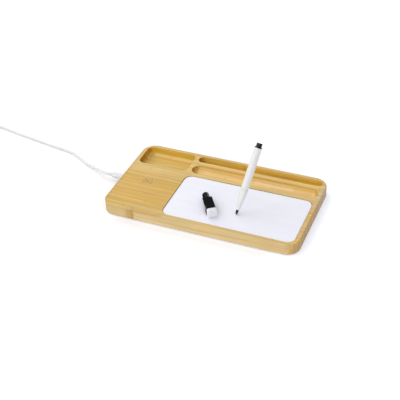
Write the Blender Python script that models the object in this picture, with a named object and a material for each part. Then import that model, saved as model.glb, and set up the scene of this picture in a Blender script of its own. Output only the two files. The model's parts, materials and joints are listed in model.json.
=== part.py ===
"""Bamboo desk organizer with a wireless charging spot, a whiteboard, a marker, its cap and a charging lead.

Units are metres, +Z is up, +X runs along the long side and +Y towards the back.
The origin is on the desk, under the middle of the bamboo body.
"""

import math

import bmesh
import bpy
import numpy as np
from mathutils import Matrix, Vector

MM = 0.001

# Fits shared by all pieces
SEAT_GAP = 0.3 * MM
CUT_OVERRUN = 1.5 * MM
MERGE_DISTANCE = 0.001 * MM
LOOP_STEPS = 24

# Bands of the bamboo body, from front to back and from left to right
RIM = 7.0 * MM
REAR_RIM = 6.5 * MM
BOARD_RECESS_LENGTH = 200.0 * MM
BOARD_RECESS_WIDTH = 100.0 * MM
BOARD_TO_COVE_LAND = 6.5 * MM
COVE_WIDTH = 22.0 * MM
COVE_TO_SLOT_LAND = 9.0 * MM
SLOT_WIDTH = 14.0 * MM
TRAY_LENGTH = 81.0 * MM
TRAY_TO_BOARD_LAND = 5.0 * MM
TRAY_TO_GROOVE_LAND = 6.5 * MM

# Bamboo body
BODY_THICKNESS = 18.0 * MM
BODY_CORNER_RADIUS = 20.0 * MM
BODY_TOP_FILLET = 2.0 * MM
BODY_BOTTOM_FILLET = 1.2 * MM
BODY_LIP_FILLET = 0.8 * MM
CORNER_STEPS = 8
FILLET_STEPS = 3

# Pockets milled in the top
TRAY_DEPTH = 11.5 * MM
TRAY_CORNER_RADIUS = 9.0 * MM
TRAY_COVE_RADIUS = 5.0 * MM
SLOT_DEPTH = 12.0 * MM
SLOT_COVE_RADIUS = 3.0 * MM
COVE_DEPTH = 6.5 * MM
COVE_FLAT_WIDTH = 4.0 * MM
COVE_STEPS = 6
BOARD_CORNER_RADIUS = 12.2 * MM
BOARD_SUNK = 1.0 * MM

# Whiteboard
PANEL_THICKNESS = 1.2 * MM
PANEL_EDGE_FILLET = 0.3 * MM
PANEL_SIDE_GAP = 0.6 * MM
BACKING_THICKNESS = 0.8 * MM
BACKING_SETBACK = 2.0 * MM

# Rubber feet
FOOT_RADIUS = 5.0 * MM
FOOT_HEIGHT = 2.0 * MM
FOOT_STANDOUT = 1.0 * MM
FOOT_EDGE_FILLET = 0.5 * MM
FOOT_INSET = 22.0 * MM
FOOT_STEPS = 24

# Electronics bay, milled from below under the charging spot
SPOT_SHARE_FROM_TRAY = 0.3524
BAY_LENGTH = 64.0 * MM
BAY_WIDTH = 56.0 * MM
BAY_CORNER_RADIUS = 20.0 * MM
BAY_WALL = 7.0 * MM
COVER_LEDGE = 3.0 * MM
COVER_CORNER_RADIUS = 8.0 * MM
COVER_THICKNESS = 3.0 * MM
COVER_EDGE_FILLET = 0.5 * MM

# Charging module
COIL_WIRE = 1.3 * MM
COIL_PITCH = 1.95 * MM
COIL_TURNS = 8
FERRITE_MARGIN = 0.6 * MM
FERRITE_THICKNESS = 1.0 * MM
COIL_POCKET_GAP = 0.8 * MM
COIL_POCKET_LAND = 1.4 * MM
CIRCUIT_THICKNESS = 1.2 * MM
CIRCUIT_EDGE_GAP = 1.5 * MM
CIRCUIT_CORNER_RADIUS = 18.0 * MM
FOAM_THICKNESS = 2.8 * MM
FOAM_EDGE_GAP = 3.0 * MM

# Components on the circuit board, with their places from the middle of the bay
CONTROLLER_SIZE = (7.0 * MM, 7.0 * MM, 1.0 * MM)
CONTROLLER_PLACE = (2.0 * MM, 6.0 * MM)
INDUCTOR_RADIUS = 3.5 * MM
INDUCTOR_HEIGHT = 2.9 * MM
INDUCTOR_PLACE = (-9.0 * MM, 11.0 * MM)
CAPACITOR_SIZE = (3.2 * MM, 1.6 * MM, 1.4 * MM)
CAPACITOR_PLACES = ((-2.0 * MM, -10.0 * MM), (6.0 * MM, -10.0 * MM), (14.0 * MM, -10.0 * MM))
COMPONENT_EDGE = 0.25 * MM

# Screws
SCREW_SHANK_RADIUS = 1.0 * MM
SCREW_HEAD_RADIUS = 1.9 * MM
SCREW_HEAD_HEIGHT = 1.3 * MM
CIRCUIT_SCREW_BITE = 3.2 * MM
CIRCUIT_SCREW_INSET = 7.0 * MM
COVER_SCREW_HEAD_RADIUS = 2.3 * MM
COVER_SCREW_HEAD_HEIGHT = 1.3 * MM
COVER_SCREW_BITE = 7.0 * MM
COVER_SCREW_INSET = 3.0 * MM
SCREW_TIP = 0.8 * MM
SCREW_EDGE = 0.4 * MM
SCREW_STEPS = 14

# Charging port in the left wall
PORT_FROM_SPOT = 6.8 * MM
PORT_WIDTH = 8.94 * MM
PORT_HEIGHT = 3.2 * MM
PORT_WALL = 0.22 * MM
PORT_SETBACK = 0.8 * MM
PORT_LENGTH = 10.5 * MM
PORT_BACK = 1.6 * MM
TONGUE_WIDTH = 6.6 * MM
TONGUE_THICKNESS = 0.7 * MM
TONGUE_FROM_MOUTH = 1.8 * MM
PORT_STEPS = 6

# Plug of the lead at the organizer
PLUG_SHELL_FIT = 0.12 * MM
PLUG_SHELL_WALL = 0.35 * MM
PLUG_SHELL_LENGTH = 6.4 * MM
PLUG_BODY_LENGTH = 20.0 * MM
PLUG_BODY_WIDTH = 10.6 * MM
PLUG_BODY_HEIGHT = 5.6 * MM
PLUG_BODY_EDGE = 0.8 * MM
PLUG_RELIEF_LENGTH = 8.0 * MM
PLUG_RELIEF_WIDE = 2.6 * MM
PLUG_RELIEF_RIBS = 3
RELIEF_WALL = 0.35 * MM
RELIEF_GROOVE = 0.35 * MM
RELIEF_STEPS = 16
RIB_SHARES = ((0.55, 0.0), (0.7, 1.0), (0.95, 1.0), (1.1, 0.0))

# Cord of the lead
CORD_DIAMETER = 3.5 * MM
CORD_LEAD_STEPS = 38
CORD_TAIL_STEPS = 9

# Route of the lead's free stretch, from the end of the plug's relief
CORD_LEAD_ROUTE = (
    (0.0, 0.0, 0.0),
    (-6.0 * MM, 0.2 * MM, -0.1 * MM),
    (-14.0 * MM, 3.9 * MM, -1.4 * MM),
    (-26.0 * MM, 10.5 * MM, -3.5 * MM),
    (-45.5 * MM, 18.8 * MM, -6.0 * MM),
    (-67.5 * MM, 30.9 * MM, -7.25 * MM),
    (-89.0 * MM, 41.0 * MM, -7.25 * MM),
    (-109.5 * MM, 45.3 * MM, -7.25 * MM),
    (-134.6 * MM, 49.4 * MM, -7.25 * MM),
    (-161.0 * MM, 54.1 * MM, -7.25 * MM),
    (-189.0 * MM, 59.2 * MM, -7.25 * MM),
    (-218.0 * MM, 64.9 * MM, -7.25 * MM),
    (-245.0 * MM, 70.2 * MM, -6.6 * MM),
    (-260.0 * MM, 73.1 * MM, -5.85 * MM),
    (-265.0 * MM, 74.1 * MM, -5.85 * MM),
)

# Coil of the length that is put away
CORD_COIL_INNER = 14.5 * MM
CORD_COIL_PITCH = 4.0 * MM
CORD_COIL_TURNS = 5
CORD_COIL_EXTRA_DEGREES = 133.0
CORD_COIL_START_DEGREES = 79.0
TIE_THICKNESS = 1.0 * MM
TIE_WIDTH = 5.0 * MM
TIE_GAP = 0.4 * MM
TIE_SIDE_GAP = 0.8 * MM
TIE_DEGREES = 145.0
TIE_CORNER = 1.5 * MM
TIE_STEPS = 3

# Plug of the lead at its supply end
SUPPLY_BODY_LENGTH = 24.0 * MM
SUPPLY_BODY_WIDTH = 15.6 * MM
SUPPLY_BODY_HEIGHT = 8.0 * MM
SUPPLY_BODY_EDGE = 1.2 * MM
SUPPLY_SHELL_LENGTH = 12.0 * MM
SUPPLY_SHELL_WIDTH = 12.0 * MM
SUPPLY_SHELL_HEIGHT = 4.5 * MM
SUPPLY_SHELL_CORNER = 0.5 * MM
SUPPLY_SHELL_WALL = 0.35 * MM
SUPPLY_TONGUE_THICKNESS = 1.8 * MM
SUPPLY_TONGUE_SETBACK = 0.6 * MM
SUPPLY_TAIL_LENGTH = 40.0 * MM
SUPPLY_TAIL_SHARES = (0.0, 0.12, 0.35, 0.65, 0.9, 1.0)
SUPPLY_DROP_SHARES = (0.12, 0.9)

# Marker, from the tip of its nib
MARKER_TIP_FROM_BOARD = (4.1 * MM, -16.1 * MM)
MARKER_TILT_DEGREES = 37.8
MARKER_HEADING_DEGREES = 78.5
NIB_LENGTH = 7.2 * MM
NIB_RADIUS = 1.9 * MM
NIB_TIP_RADIUS = 0.75 * MM
NIB_SHANK_LENGTH = 10.0 * MM
NOSE_LENGTH = 30.0 * MM
NOSE_MOUTH_RADIUS = 2.5 * MM
NOSE_SWELL = 0.7 * MM
NOSE_SPIGOT_LENGTH = 6.0 * MM
BARREL_RADIUS = 5.6 * MM
BARREL_WALL = 1.2 * MM
BARREL_LENGTH = 62.0 * MM
RESERVOIR_LENGTH = 46.0 * MM
END_FLANGE_THICKNESS = 1.5 * MM
END_NECK_RADIUS = 4.1 * MM
END_NECK_LENGTH = 5.6 * MM
END_LIP_RADIUS = 4.5 * MM
END_SPIGOT_LENGTH = 6.0 * MM
MARKER_EDGE = 0.4 * MM
MARKER_STEPS = 32

# Cap, from the mouth of its collar
CAP_MOUTH_FROM_BOARD = (-52.0 * MM, 6.1 * MM)
CAP_HEADING_DEGREES = -55.2
CAP_COLLAR_RADIUS = 4.9 * MM
CAP_COLLAR_LENGTH = 13.2 * MM
CAP_BORE_RADIUS = 4.0 * MM
CAP_BORE_LENGTH = 24.0 * MM
CAP_BODY_LENGTH = 27.0 * MM
CAP_BODY_WIDTH = 12.8 * MM
CAP_BODY_HEIGHT = 11.0 * MM
CAP_BODY_CORNER = 1.8 * MM
CAP_EDGE = 0.5 * MM
CAP_COLLAR_STEPS = 28
CAP_CORNER_STEPS = 4
MAGNET_THICKNESS = 1.2 * MM
MAGNET_LENGTH = 7.0 * MM
MAGNET_HEIGHT = 10.2 * MM
MAGNET_CORNER = 0.4 * MM
ERASER_THICKNESS = 7.8 * MM
ERASER_WIDTH = 13.8 * MM
ERASER_HEIGHT = 11.6 * MM
ERASER_CORNER = 2.4 * MM
ERASER_EDGE = 1.0 * MM

# Places worked out from the sizes above
TRAY_WIDTH = COVE_WIDTH + COVE_TO_SLOT_LAND + SLOT_WIDTH
BODY_LENGTH = RIM + TRAY_LENGTH + TRAY_TO_BOARD_LAND + BOARD_RECESS_LENGTH + RIM
BODY_WIDTH = RIM + BOARD_RECESS_WIDTH + BOARD_TO_COVE_LAND + TRAY_WIDTH + REAR_RIM
BODY_LEFT = -BODY_LENGTH / 2
BODY_RIGHT = BODY_LENGTH / 2
BODY_FRONT = -BODY_WIDTH / 2
BODY_BACK = BODY_WIDTH / 2
BODY_BOTTOM = FOOT_STANDOUT
BODY_TOP = BODY_BOTTOM + BODY_THICKNESS
TRAY_LEFT = BODY_LEFT + RIM
TRAY_BACK = BODY_BACK - REAR_RIM
TRAY_FRONT = TRAY_BACK - TRAY_WIDTH
TRAY_CENTRE = (TRAY_LEFT + TRAY_LENGTH / 2, TRAY_BACK - TRAY_WIDTH / 2)
GROOVE_LENGTH = BODY_RIGHT - RIM - (TRAY_LEFT + TRAY_LENGTH + TRAY_TO_GROOVE_LAND)
GROOVE_CENTRE_X = BODY_RIGHT - RIM - GROOVE_LENGTH / 2
SLOT_CENTRE = (GROOVE_CENTRE_X, TRAY_BACK - SLOT_WIDTH / 2)
COVE_CENTRE = (GROOVE_CENTRE_X, TRAY_FRONT + COVE_WIDTH / 2)
BOARD_CENTRE = (
    BODY_RIGHT - RIM - BOARD_RECESS_LENGTH / 2,
    BODY_FRONT + RIM + BOARD_RECESS_WIDTH / 2,
)
PANEL_TOP = BODY_TOP - BOARD_SUNK
PANEL_BOTTOM = PANEL_TOP - PANEL_THICKNESS
BACKING_TOP = PANEL_BOTTOM - SEAT_GAP
BACKING_BOTTOM = BACKING_TOP - BACKING_THICKNESS
BOARD_RECESS_FLOOR = BACKING_BOTTOM - SEAT_GAP
COIL_POCKET_RADIUS = min(BAY_LENGTH, BAY_WIDTH) / 2 - COIL_POCKET_LAND
SPOT_CENTRE = (
    BODY_LEFT + BAY_WALL + BAY_LENGTH - COIL_POCKET_LAND - COIL_POCKET_RADIUS,
    TRAY_FRONT - SPOT_SHARE_FROM_TRAY * (TRAY_FRONT - BODY_FRONT),
)
BAY_CENTRE = (BODY_LEFT + BAY_WALL + BAY_LENGTH / 2, SPOT_CENTRE[1])
COVER_TOP = BODY_BOTTOM + COVER_THICKNESS
COVER_RECESS_TOP = COVER_TOP + SEAT_GAP
FOAM_BOTTOM = COVER_TOP + SEAT_GAP
FOAM_TOP = FOAM_BOTTOM + FOAM_THICKNESS
PORT_BOTTOM = FOAM_TOP + SEAT_GAP
PORT_CENTRE_Z = PORT_BOTTOM + PORT_HEIGHT / 2
PORT_CENTRE_Y = SPOT_CENTRE[1] + PORT_FROM_SPOT
PORT_MOUTH = BODY_LEFT + PORT_SETBACK
PORT_END = PORT_MOUTH + PORT_LENGTH
COMPONENT_TOP = PORT_BOTTOM + PORT_HEIGHT
CIRCUIT_BOTTOM = COMPONENT_TOP + SEAT_GAP
CIRCUIT_TOP = CIRCUIT_BOTTOM + CIRCUIT_THICKNESS
BAY_ROOF = CIRCUIT_TOP + SEAT_GAP
FERRITE_BOTTOM = CIRCUIT_TOP + SEAT_GAP
FERRITE_TOP = FERRITE_BOTTOM + FERRITE_THICKNESS
COIL_CENTRE_Z = FERRITE_TOP + SEAT_GAP + COIL_WIRE / 2
COIL_POCKET_ROOF = COIL_CENTRE_Z + COIL_WIRE / 2 + SEAT_GAP
FERRITE_RADIUS = COIL_POCKET_RADIUS - COIL_POCKET_GAP
COIL_INNER_RADIUS = FERRITE_RADIUS - FERRITE_MARGIN - COIL_PITCH * COIL_TURNS
CIRCUIT_LENGTH = BAY_LENGTH - 2 * CIRCUIT_EDGE_GAP
CIRCUIT_WIDTH = BAY_WIDTH - 2 * CIRCUIT_EDGE_GAP
PLUG_FACE = BODY_LEFT - SEAT_GAP
PLUG_BACK = PLUG_FACE - PLUG_BODY_LENGTH
CORD_START_X = PLUG_BACK - SEAT_GAP - PLUG_RELIEF_LENGTH
CORD_RADIUS = CORD_DIAMETER / 2


def arc_in(radius, steps, low):
    """Inset and height along a round lower edge, from its bottom up to the wall."""
    points = []
    for step in range(steps + 1):
        turn = math.radians(90) * step / steps
        points.append((radius * (1 - math.sin(turn)), low + radius * (1 - math.cos(turn))))
    return points


def arc_out(radius, steps, high):
    """Inset and height along a round upper edge, from the wall up to the top."""
    points = []
    for step in range(steps + 1):
        turn = math.radians(90) * step / steps
        points.append((radius * (1 - math.cos(turn)), high - radius * (1 - math.sin(turn))))
    return points


def lip_out(radius, steps, high):
    """Inset and height of a cutter that leaves a rounded lip and runs on above it."""
    points = []
    for step in range(steps + 1):
        turn = math.radians(90) * step / steps
        points.append((-radius * (1 - math.cos(turn)), high - radius * (1 - math.sin(turn))))
    points.append((-radius, high + CUT_OVERRUN))
    return points


def rounded_outline(length, width, radius, steps):
    """Points round a rectangle with round corners, anticlockwise from its +X side."""
    radius = min(radius, length / 2, width / 2)
    points = []
    for corner, (side_x, side_y) in enumerate(((1, 1), (-1, 1), (-1, -1), (1, -1))):
        middle_x = side_x * (length / 2 - radius)
        middle_y = side_y * (width / 2 - radius)
        for step in range(steps + 1):
            turn = math.radians(90) * (corner + step / steps)
            points.append((middle_x + radius * math.cos(turn), middle_y + radius * math.sin(turn)))
    return points


def add_object(name, work, smooth_degrees=None):
    """Turns a bmesh into an object of the scene, with its faces pointing out."""
    bmesh.ops.remove_doubles(work, verts=work.verts, dist=MERGE_DISTANCE)
    bmesh.ops.recalc_face_normals(work, faces=work.faces)
    mesh = bpy.data.meshes.new(name)
    work.to_mesh(mesh)
    work.free()
    if smooth_degrees:
        mesh.shade_smooth()
        mesh.set_sharp_from_angle(angle=math.radians(smooth_degrees))
    made = bpy.data.objects.new(name, mesh)
    bpy.context.scene.collection.objects.link(made)
    return made


def ringed(name, rings, smooth_degrees=30):
    """The closed solid through a stack of outlines that have the same number of points."""
    work = bmesh.new()
    loops = [[work.verts.new(point) for point in ring] for ring in rings]
    for low, high in zip(loops, loops[1:]):
        for index in range(len(low)):
            after = (index + 1) % len(low)
            work.faces.new((low[index], low[after], high[after], high[index]))
    work.faces.new(loops[0])
    work.faces.new(loops[-1])
    return add_object(name, work, smooth_degrees)


def slab(name, length, width, radius, steps, profile, centre=(0.0, 0.0)):
    """A round-cornered block whose sides follow a profile of insets and heights."""
    rings = []
    for inset, height in profile:
        outline = rounded_outline(length - 2 * inset, width - 2 * inset, radius - inset, steps)
        rings.append([(centre[0] + x, centre[1] + y, height) for x, y in outline])
    return ringed(name, rings)


def turned(name, profile, steps, closed=False):
    """The solid that a profile of radii and heights sweeps round the Z axis."""
    work = bmesh.new()
    points = [work.verts.new((radius, 0, height)) for radius, height in profile]
    pairs = list(zip(points, points[1:]))
    if closed:
        pairs.append((points[-1], points[0]))
    edges = [work.edges.new(pair) for pair in pairs]
    bmesh.ops.spin(
        work,
        geom=points + edges,
        cent=(0, 0, 0),
        axis=(0, 0, 1),
        angle=math.tau,
        steps=steps,
        use_merge=True,
    )
    return add_object(name, work, smooth_degrees=35)


def finish(piece, colour, roughness, metallic=0.0):
    """Gives a piece its own plain material."""
    made = bpy.data.materials.new(piece.name + "_finish")
    made.use_nodes = True
    shader = made.node_tree.nodes["Principled BSDF"]
    shader.inputs["Base Color"].default_value = (*colour, 1.0)
    shader.inputs["Roughness"].default_value = roughness
    shader.inputs["Metallic"].default_value = metallic
    made.diffuse_color = (*colour, 1.0)
    piece.data.materials.append(made)
    return piece


def cut(piece, cutter, operation="DIFFERENCE"):
    """Takes a cutter out of a piece, or joins it on, and keeps it as a hidden guide."""
    modifier = piece.modifiers.new(cutter.name, "BOOLEAN")
    modifier.operation = operation
    modifier.solver = "EXACT"
    modifier.object = cutter
    cutter.hide_render = True
    cutter.display_type = "WIRE"


def move_mesh(piece, matrix):
    """Moves a piece's mesh, so that its origin stays at the object's own."""
    piece.data.transform(matrix)
    return piece


def shifted(x, y, z=0.0):
    return Matrix.Translation((x, y, z))


def along_x(piece):
    """Lays a piece that was made along +Z down along +X, its own Y across."""
    return move_mesh(piece, Matrix.Rotation(math.radians(90), 4, "Y"))


def tube(name, points, diameter, resolution):
    """One unbroken round tube with closed ends through a line of points."""
    curve = bpy.data.curves.new(name, "CURVE")
    curve.dimensions = "3D"
    curve.bevel_depth = diameter / 2
    curve.bevel_resolution = resolution
    curve.use_fill_caps = True
    spline = curve.splines.new("POLY")
    spline.points.add(len(points) - 1)
    for spot, place in zip(spline.points, points):
        spot.co = (*place, 1.0)
    made = bpy.data.objects.new(name, curve)
    bpy.context.scene.collection.objects.link(made)
    return made


def smooth_route(route, count):
    """Points at even steps along a smooth curve through the route's own points."""
    knots = [Vector(point) for point in route]
    knots = [2 * knots[0] - knots[1]] + knots + [2 * knots[-1] - knots[-2]]
    fine = []
    for index in range(1, len(knots) - 2):
        before, start, end, after = knots[index - 1 : index + 3]
        for step in range(CORNER_STEPS * 3):
            t = step / (CORNER_STEPS * 3)
            fine.append(
                0.5
                * (
                    2 * start
                    + (end - before) * t
                    + (2 * before - 5 * start + 4 * end - after) * t**2
                    + (3 * start - before - 3 * end + after) * t**3
                )
            )
    fine.append(knots[-2])
    run = [0.0]
    for one, other in zip(fine, fine[1:]):
        run.append(run[-1] + (other - one).length)
    wanted = np.linspace(0, run[-1], count)
    columns = [np.interp(wanted, run, [point[axis] for point in fine]) for axis in range(3)]
    return list(zip(*columns))


def least_gap(points, diameter, turn_points):
    """The least gap between a wound tube's own turns, measured on points along its middle."""
    middle = np.array(points)
    steps = np.linspace(0, 1, 5)[:-1]
    fine = np.concatenate([middle[:-1] + (middle[1:] - middle[:-1]) * step for step in steps])
    order = np.concatenate([np.arange(len(middle) - 1) + step for step in steps])
    apart = np.linalg.norm(fine[:, None] - fine[None, :], axis=2)
    apart[np.abs(order[:, None] - order[None, :]) < turn_points / 2] = np.inf
    return apart.min() - diameter


BAMBOO = (0.680, 0.462, 0.178)
WHITE_PLASTIC = (0.86, 0.87, 0.88)
BLACK_PLASTIC = (0.012, 0.012, 0.013)
STEEL = (0.56, 0.57, 0.58)

for old in list(bpy.data.objects):
    bpy.data.objects.remove(old, do_unlink=True)


# Bamboo body
def make_body():
    """The milled bamboo board with its tray, grooves, board recess and bay."""
    sides = arc_in(BODY_BOTTOM_FILLET, FILLET_STEPS, BODY_BOTTOM)
    sides += arc_out(BODY_TOP_FILLET, FILLET_STEPS, BODY_TOP)
    body = slab("bamboo_body", BODY_LENGTH, BODY_WIDTH, BODY_CORNER_RADIUS, CORNER_STEPS, sides)

    tray_sides = arc_in(TRAY_COVE_RADIUS, FILLET_STEPS + 1, BODY_TOP - TRAY_DEPTH)
    tray_sides += lip_out(BODY_LIP_FILLET, FILLET_STEPS, BODY_TOP)
    tray = slab(
        "tray_cutter",
        TRAY_LENGTH,
        TRAY_WIDTH,
        TRAY_CORNER_RADIUS,
        CORNER_STEPS - 2,
        tray_sides,
        TRAY_CENTRE,
    )
    cut(body, tray)

    slot_sides = arc_in(SLOT_COVE_RADIUS, FILLET_STEPS, BODY_TOP - SLOT_DEPTH)
    slot_sides += lip_out(BODY_LIP_FILLET, FILLET_STEPS, BODY_TOP)
    slot = slab(
        "slot_cutter",
        GROOVE_LENGTH,
        SLOT_WIDTH,
        SLOT_WIDTH / 2,
        CORNER_STEPS - 2,
        slot_sides,
        SLOT_CENTRE,
    )
    cut(body, slot)

    cove = slab(
        "cove_cutter",
        GROOVE_LENGTH,
        COVE_WIDTH,
        COVE_WIDTH / 2,
        CORNER_STEPS,
        cove_sides(),
        COVE_CENTRE,
    )
    cut(body, cove)

    recess = slab(
        "board_recess_cutter",
        BOARD_RECESS_LENGTH,
        BOARD_RECESS_WIDTH,
        BOARD_CORNER_RADIUS,
        CORNER_STEPS,
        [(0.0, BOARD_RECESS_FLOOR)] + lip_out(BOARD_SUNK / 2, FILLET_STEPS - 1, BODY_TOP),
        BOARD_CENTRE,
    )
    cut(body, recess)

    cut_bay(body)
    for index, (x, y) in enumerate(foot_places()):
        seat = turned(
            f"foot_seat_cutter_{index + 1}",
            [
                (0.0, BODY_BOTTOM - CUT_OVERRUN),
                (FOOT_RADIUS + SEAT_GAP, BODY_BOTTOM - CUT_OVERRUN),
                (FOOT_RADIUS + SEAT_GAP, FOOT_HEIGHT + SEAT_GAP),
                (0.0, FOOT_HEIGHT + SEAT_GAP),
            ],
            FOOT_STEPS,
        )
        cut(body, move_mesh(seat, shifted(x, y)))
    return finish(body, BAMBOO, 0.45)


def cove_sides():
    """The round-bottomed profile that a large ball cutter leaves, with its rounded lip."""
    half = COVE_WIDTH / 2
    bend = (half**2 + COVE_DEPTH**2) / (2 * COVE_DEPTH)
    start = math.asin(COVE_FLAT_WIDTH / 2 / bend)
    end = math.asin(half / bend)
    sides = []
    for step in range(COVE_STEPS + 1):
        turn = start + (end - start) * step / COVE_STEPS
        sides.append((half - bend * math.sin(turn), BODY_TOP - COVE_DEPTH + bend * (1 - math.cos(turn))))
    sides.append((-BODY_LIP_FILLET / 2, BODY_TOP + BODY_LIP_FILLET / 2))
    sides.append((-BODY_LIP_FILLET / 2, BODY_TOP + CUT_OVERRUN))
    return sides


def foot_places():
    """The four places of the feet, one near each corner."""
    x = BODY_RIGHT - FOOT_INSET
    y = BODY_BACK - FOOT_INSET
    return ((-x, -y), (x, -y), (x, y), (-x, y))


def cover_screw_places():
    x = BAY_LENGTH / 2 - COVER_SCREW_INSET
    y = BAY_WIDTH / 2 - COVER_SCREW_INSET
    return [(BAY_CENTRE[0] + a * x, BAY_CENTRE[1] + b * y) for a, b in ((-1, -1), (1, -1), (1, 1), (-1, 1))]


def circuit_screw_places():
    x = CIRCUIT_LENGTH / 2 - CIRCUIT_SCREW_INSET
    y = CIRCUIT_WIDTH / 2 - CIRCUIT_SCREW_INSET
    return [(BAY_CENTRE[0] + a * x, BAY_CENTRE[1] + b * y) for a, b in ((-1, -1), (1, -1), (1, 1), (-1, 1))]


def hole_cutter(name, radius, low, high, place):
    made = turned(name, [(0.0, low), (radius, low), (radius, high), (0.0, high)], SCREW_STEPS)
    return move_mesh(made, shifted(*place))


def cut_bay(body):
    """Mills the electronics bay, its cover ledge, the coil pocket, the port and the screw holes."""
    low = BODY_BOTTOM - CUT_OVERRUN
    ledge = slab(
        "cover_recess_cutter",
        BAY_LENGTH + 2 * COVER_LEDGE,
        BAY_WIDTH + 2 * COVER_LEDGE,
        COVER_CORNER_RADIUS,
        CORNER_STEPS - 2,
        [(0.0, low), (0.0, COVER_RECESS_TOP)],
        BAY_CENTRE,
    )
    cut(body, ledge)
    bay = slab(
        "bay_cutter",
        BAY_LENGTH,
        BAY_WIDTH,
        BAY_CORNER_RADIUS,
        CORNER_STEPS,
        [(0.0, low), (0.0, BAY_ROOF)],
        BAY_CENTRE,
    )
    cut(body, bay)
    pocket = turned(
        "coil_pocket_cutter",
        [
            (0.0, FOAM_TOP),
            (COIL_POCKET_RADIUS, FOAM_TOP),
            (COIL_POCKET_RADIUS, COIL_POCKET_ROOF),
            (0.0, COIL_POCKET_ROOF),
        ],
        CORNER_STEPS * 5,
    )
    cut(body, move_mesh(pocket, shifted(*SPOT_CENTRE)))
    port = slab(
        "port_cutter",
        PORT_HEIGHT + 2 * SEAT_GAP,
        PORT_WIDTH + 2 * SEAT_GAP,
        PORT_HEIGHT / 2 + SEAT_GAP,
        PORT_STEPS,
        [(0.0, BODY_LEFT - CUT_OVERRUN), (0.0, BODY_LEFT + BAY_WALL + CUT_OVERRUN)],
    )
    cut(body, move_mesh(along_x(port), shifted(0.0, PORT_CENTRE_Y, PORT_CENTRE_Z)))
    for index, place in enumerate(cover_screw_places()):
        high = COVER_RECESS_TOP + COVER_SCREW_BITE + SEAT_GAP
        hole = hole_cutter(f"cover_hole_cutter_{index + 1}", SCREW_SHANK_RADIUS + SEAT_GAP, low, high, place)
        cut(body, hole)
    for index, place in enumerate(circuit_screw_places()):
        high = BAY_ROOF + CIRCUIT_SCREW_BITE + SEAT_GAP
        name = f"circuit_hole_cutter_{index + 1}"
        cut(body, hole_cutter(name, SCREW_SHANK_RADIUS + SEAT_GAP, FOAM_TOP, high, place))


# Whiteboard
def make_whiteboard():
    """The coated steel panel and the adhesive sheet that holds it in its recess."""
    length = BOARD_RECESS_LENGTH - 2 * PANEL_SIDE_GAP
    width = BOARD_RECESS_WIDTH - 2 * PANEL_SIDE_GAP
    radius = BOARD_CORNER_RADIUS - PANEL_SIDE_GAP
    sides = [(0.0, PANEL_BOTTOM)] + arc_out(PANEL_EDGE_FILLET, FILLET_STEPS - 1, PANEL_TOP)
    panel = slab("whiteboard_panel", length, width, radius, CORNER_STEPS, sides, BOARD_CENTRE)
    finish(panel, (0.86, 0.87, 0.93), 0.18)
    backing = slab(
        "whiteboard_backing",
        length - 2 * BACKING_SETBACK,
        width - 2 * BACKING_SETBACK,
        radius - BACKING_SETBACK,
        CORNER_STEPS - 2,
        [(0.0, BACKING_BOTTOM), (0.0, BACKING_TOP)],
        BOARD_CENTRE,
    )
    finish(backing, (0.75, 0.74, 0.70), 0.9)


# Feet and bottom cover
def make_feet():
    """Four rubber feet pressed into shallow seats."""
    for index, place in enumerate(foot_places()):
        profile = [(0.0, 0.0)]
        for inset, height in arc_in(FOOT_EDGE_FILLET, FILLET_STEPS, 0.0):
            profile.append((FOOT_RADIUS - inset, height))
        profile += [(FOOT_RADIUS, FOOT_HEIGHT), (0.0, FOOT_HEIGHT)]
        foot = turned(f"foot_{index + 1}", profile, FOOT_STEPS)
        finish(move_mesh(foot, shifted(*place)), (0.30, 0.29, 0.27), 0.8)


def make_cover():
    """The flat cover under the bay, with four countersunk screws."""
    sides = arc_in(COVER_EDGE_FILLET, FILLET_STEPS - 1, BODY_BOTTOM) + [(0.0, COVER_TOP)]
    cover = slab(
        "bay_cover",
        BAY_LENGTH + 2 * COVER_LEDGE - 2 * SEAT_GAP,
        BAY_WIDTH + 2 * COVER_LEDGE - 2 * SEAT_GAP,
        COVER_CORNER_RADIUS - SEAT_GAP,
        CORNER_STEPS - 2,
        sides,
        BAY_CENTRE,
    )
    for index, place in enumerate(cover_screw_places()):
        wide = COVER_SCREW_HEAD_RADIUS + SEAT_GAP
        narrow = SCREW_SHANK_RADIUS + SEAT_GAP
        hole = turned(
            f"countersink_cutter_{index + 1}",
            [
                (0.0, BODY_BOTTOM - CUT_OVERRUN),
                (wide, BODY_BOTTOM - CUT_OVERRUN),
                (wide, BODY_BOTTOM),
                (narrow, BODY_BOTTOM + COVER_SCREW_HEAD_HEIGHT),
                (narrow, COVER_TOP + CUT_OVERRUN),
                (0.0, COVER_TOP + CUT_OVERRUN),
            ],
            SCREW_STEPS,
        )
        cut(cover, move_mesh(hole, shifted(*place)))
        screw = turned(
            f"cover_screw_{index + 1}",
            [
                (0.0, BODY_BOTTOM),
                (COVER_SCREW_HEAD_RADIUS, BODY_BOTTOM),
                (SCREW_SHANK_RADIUS, BODY_BOTTOM + COVER_SCREW_HEAD_HEIGHT),
                (SCREW_SHANK_RADIUS, COVER_RECESS_TOP + COVER_SCREW_BITE - SCREW_TIP),
                (0.0, COVER_RECESS_TOP + COVER_SCREW_BITE),
            ],
            SCREW_STEPS,
        )
        finish(move_mesh(screw, shifted(*place)), STEEL, 0.35, 1.0)
    finish(cover, (0.05, 0.05, 0.05), 0.6)


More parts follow.
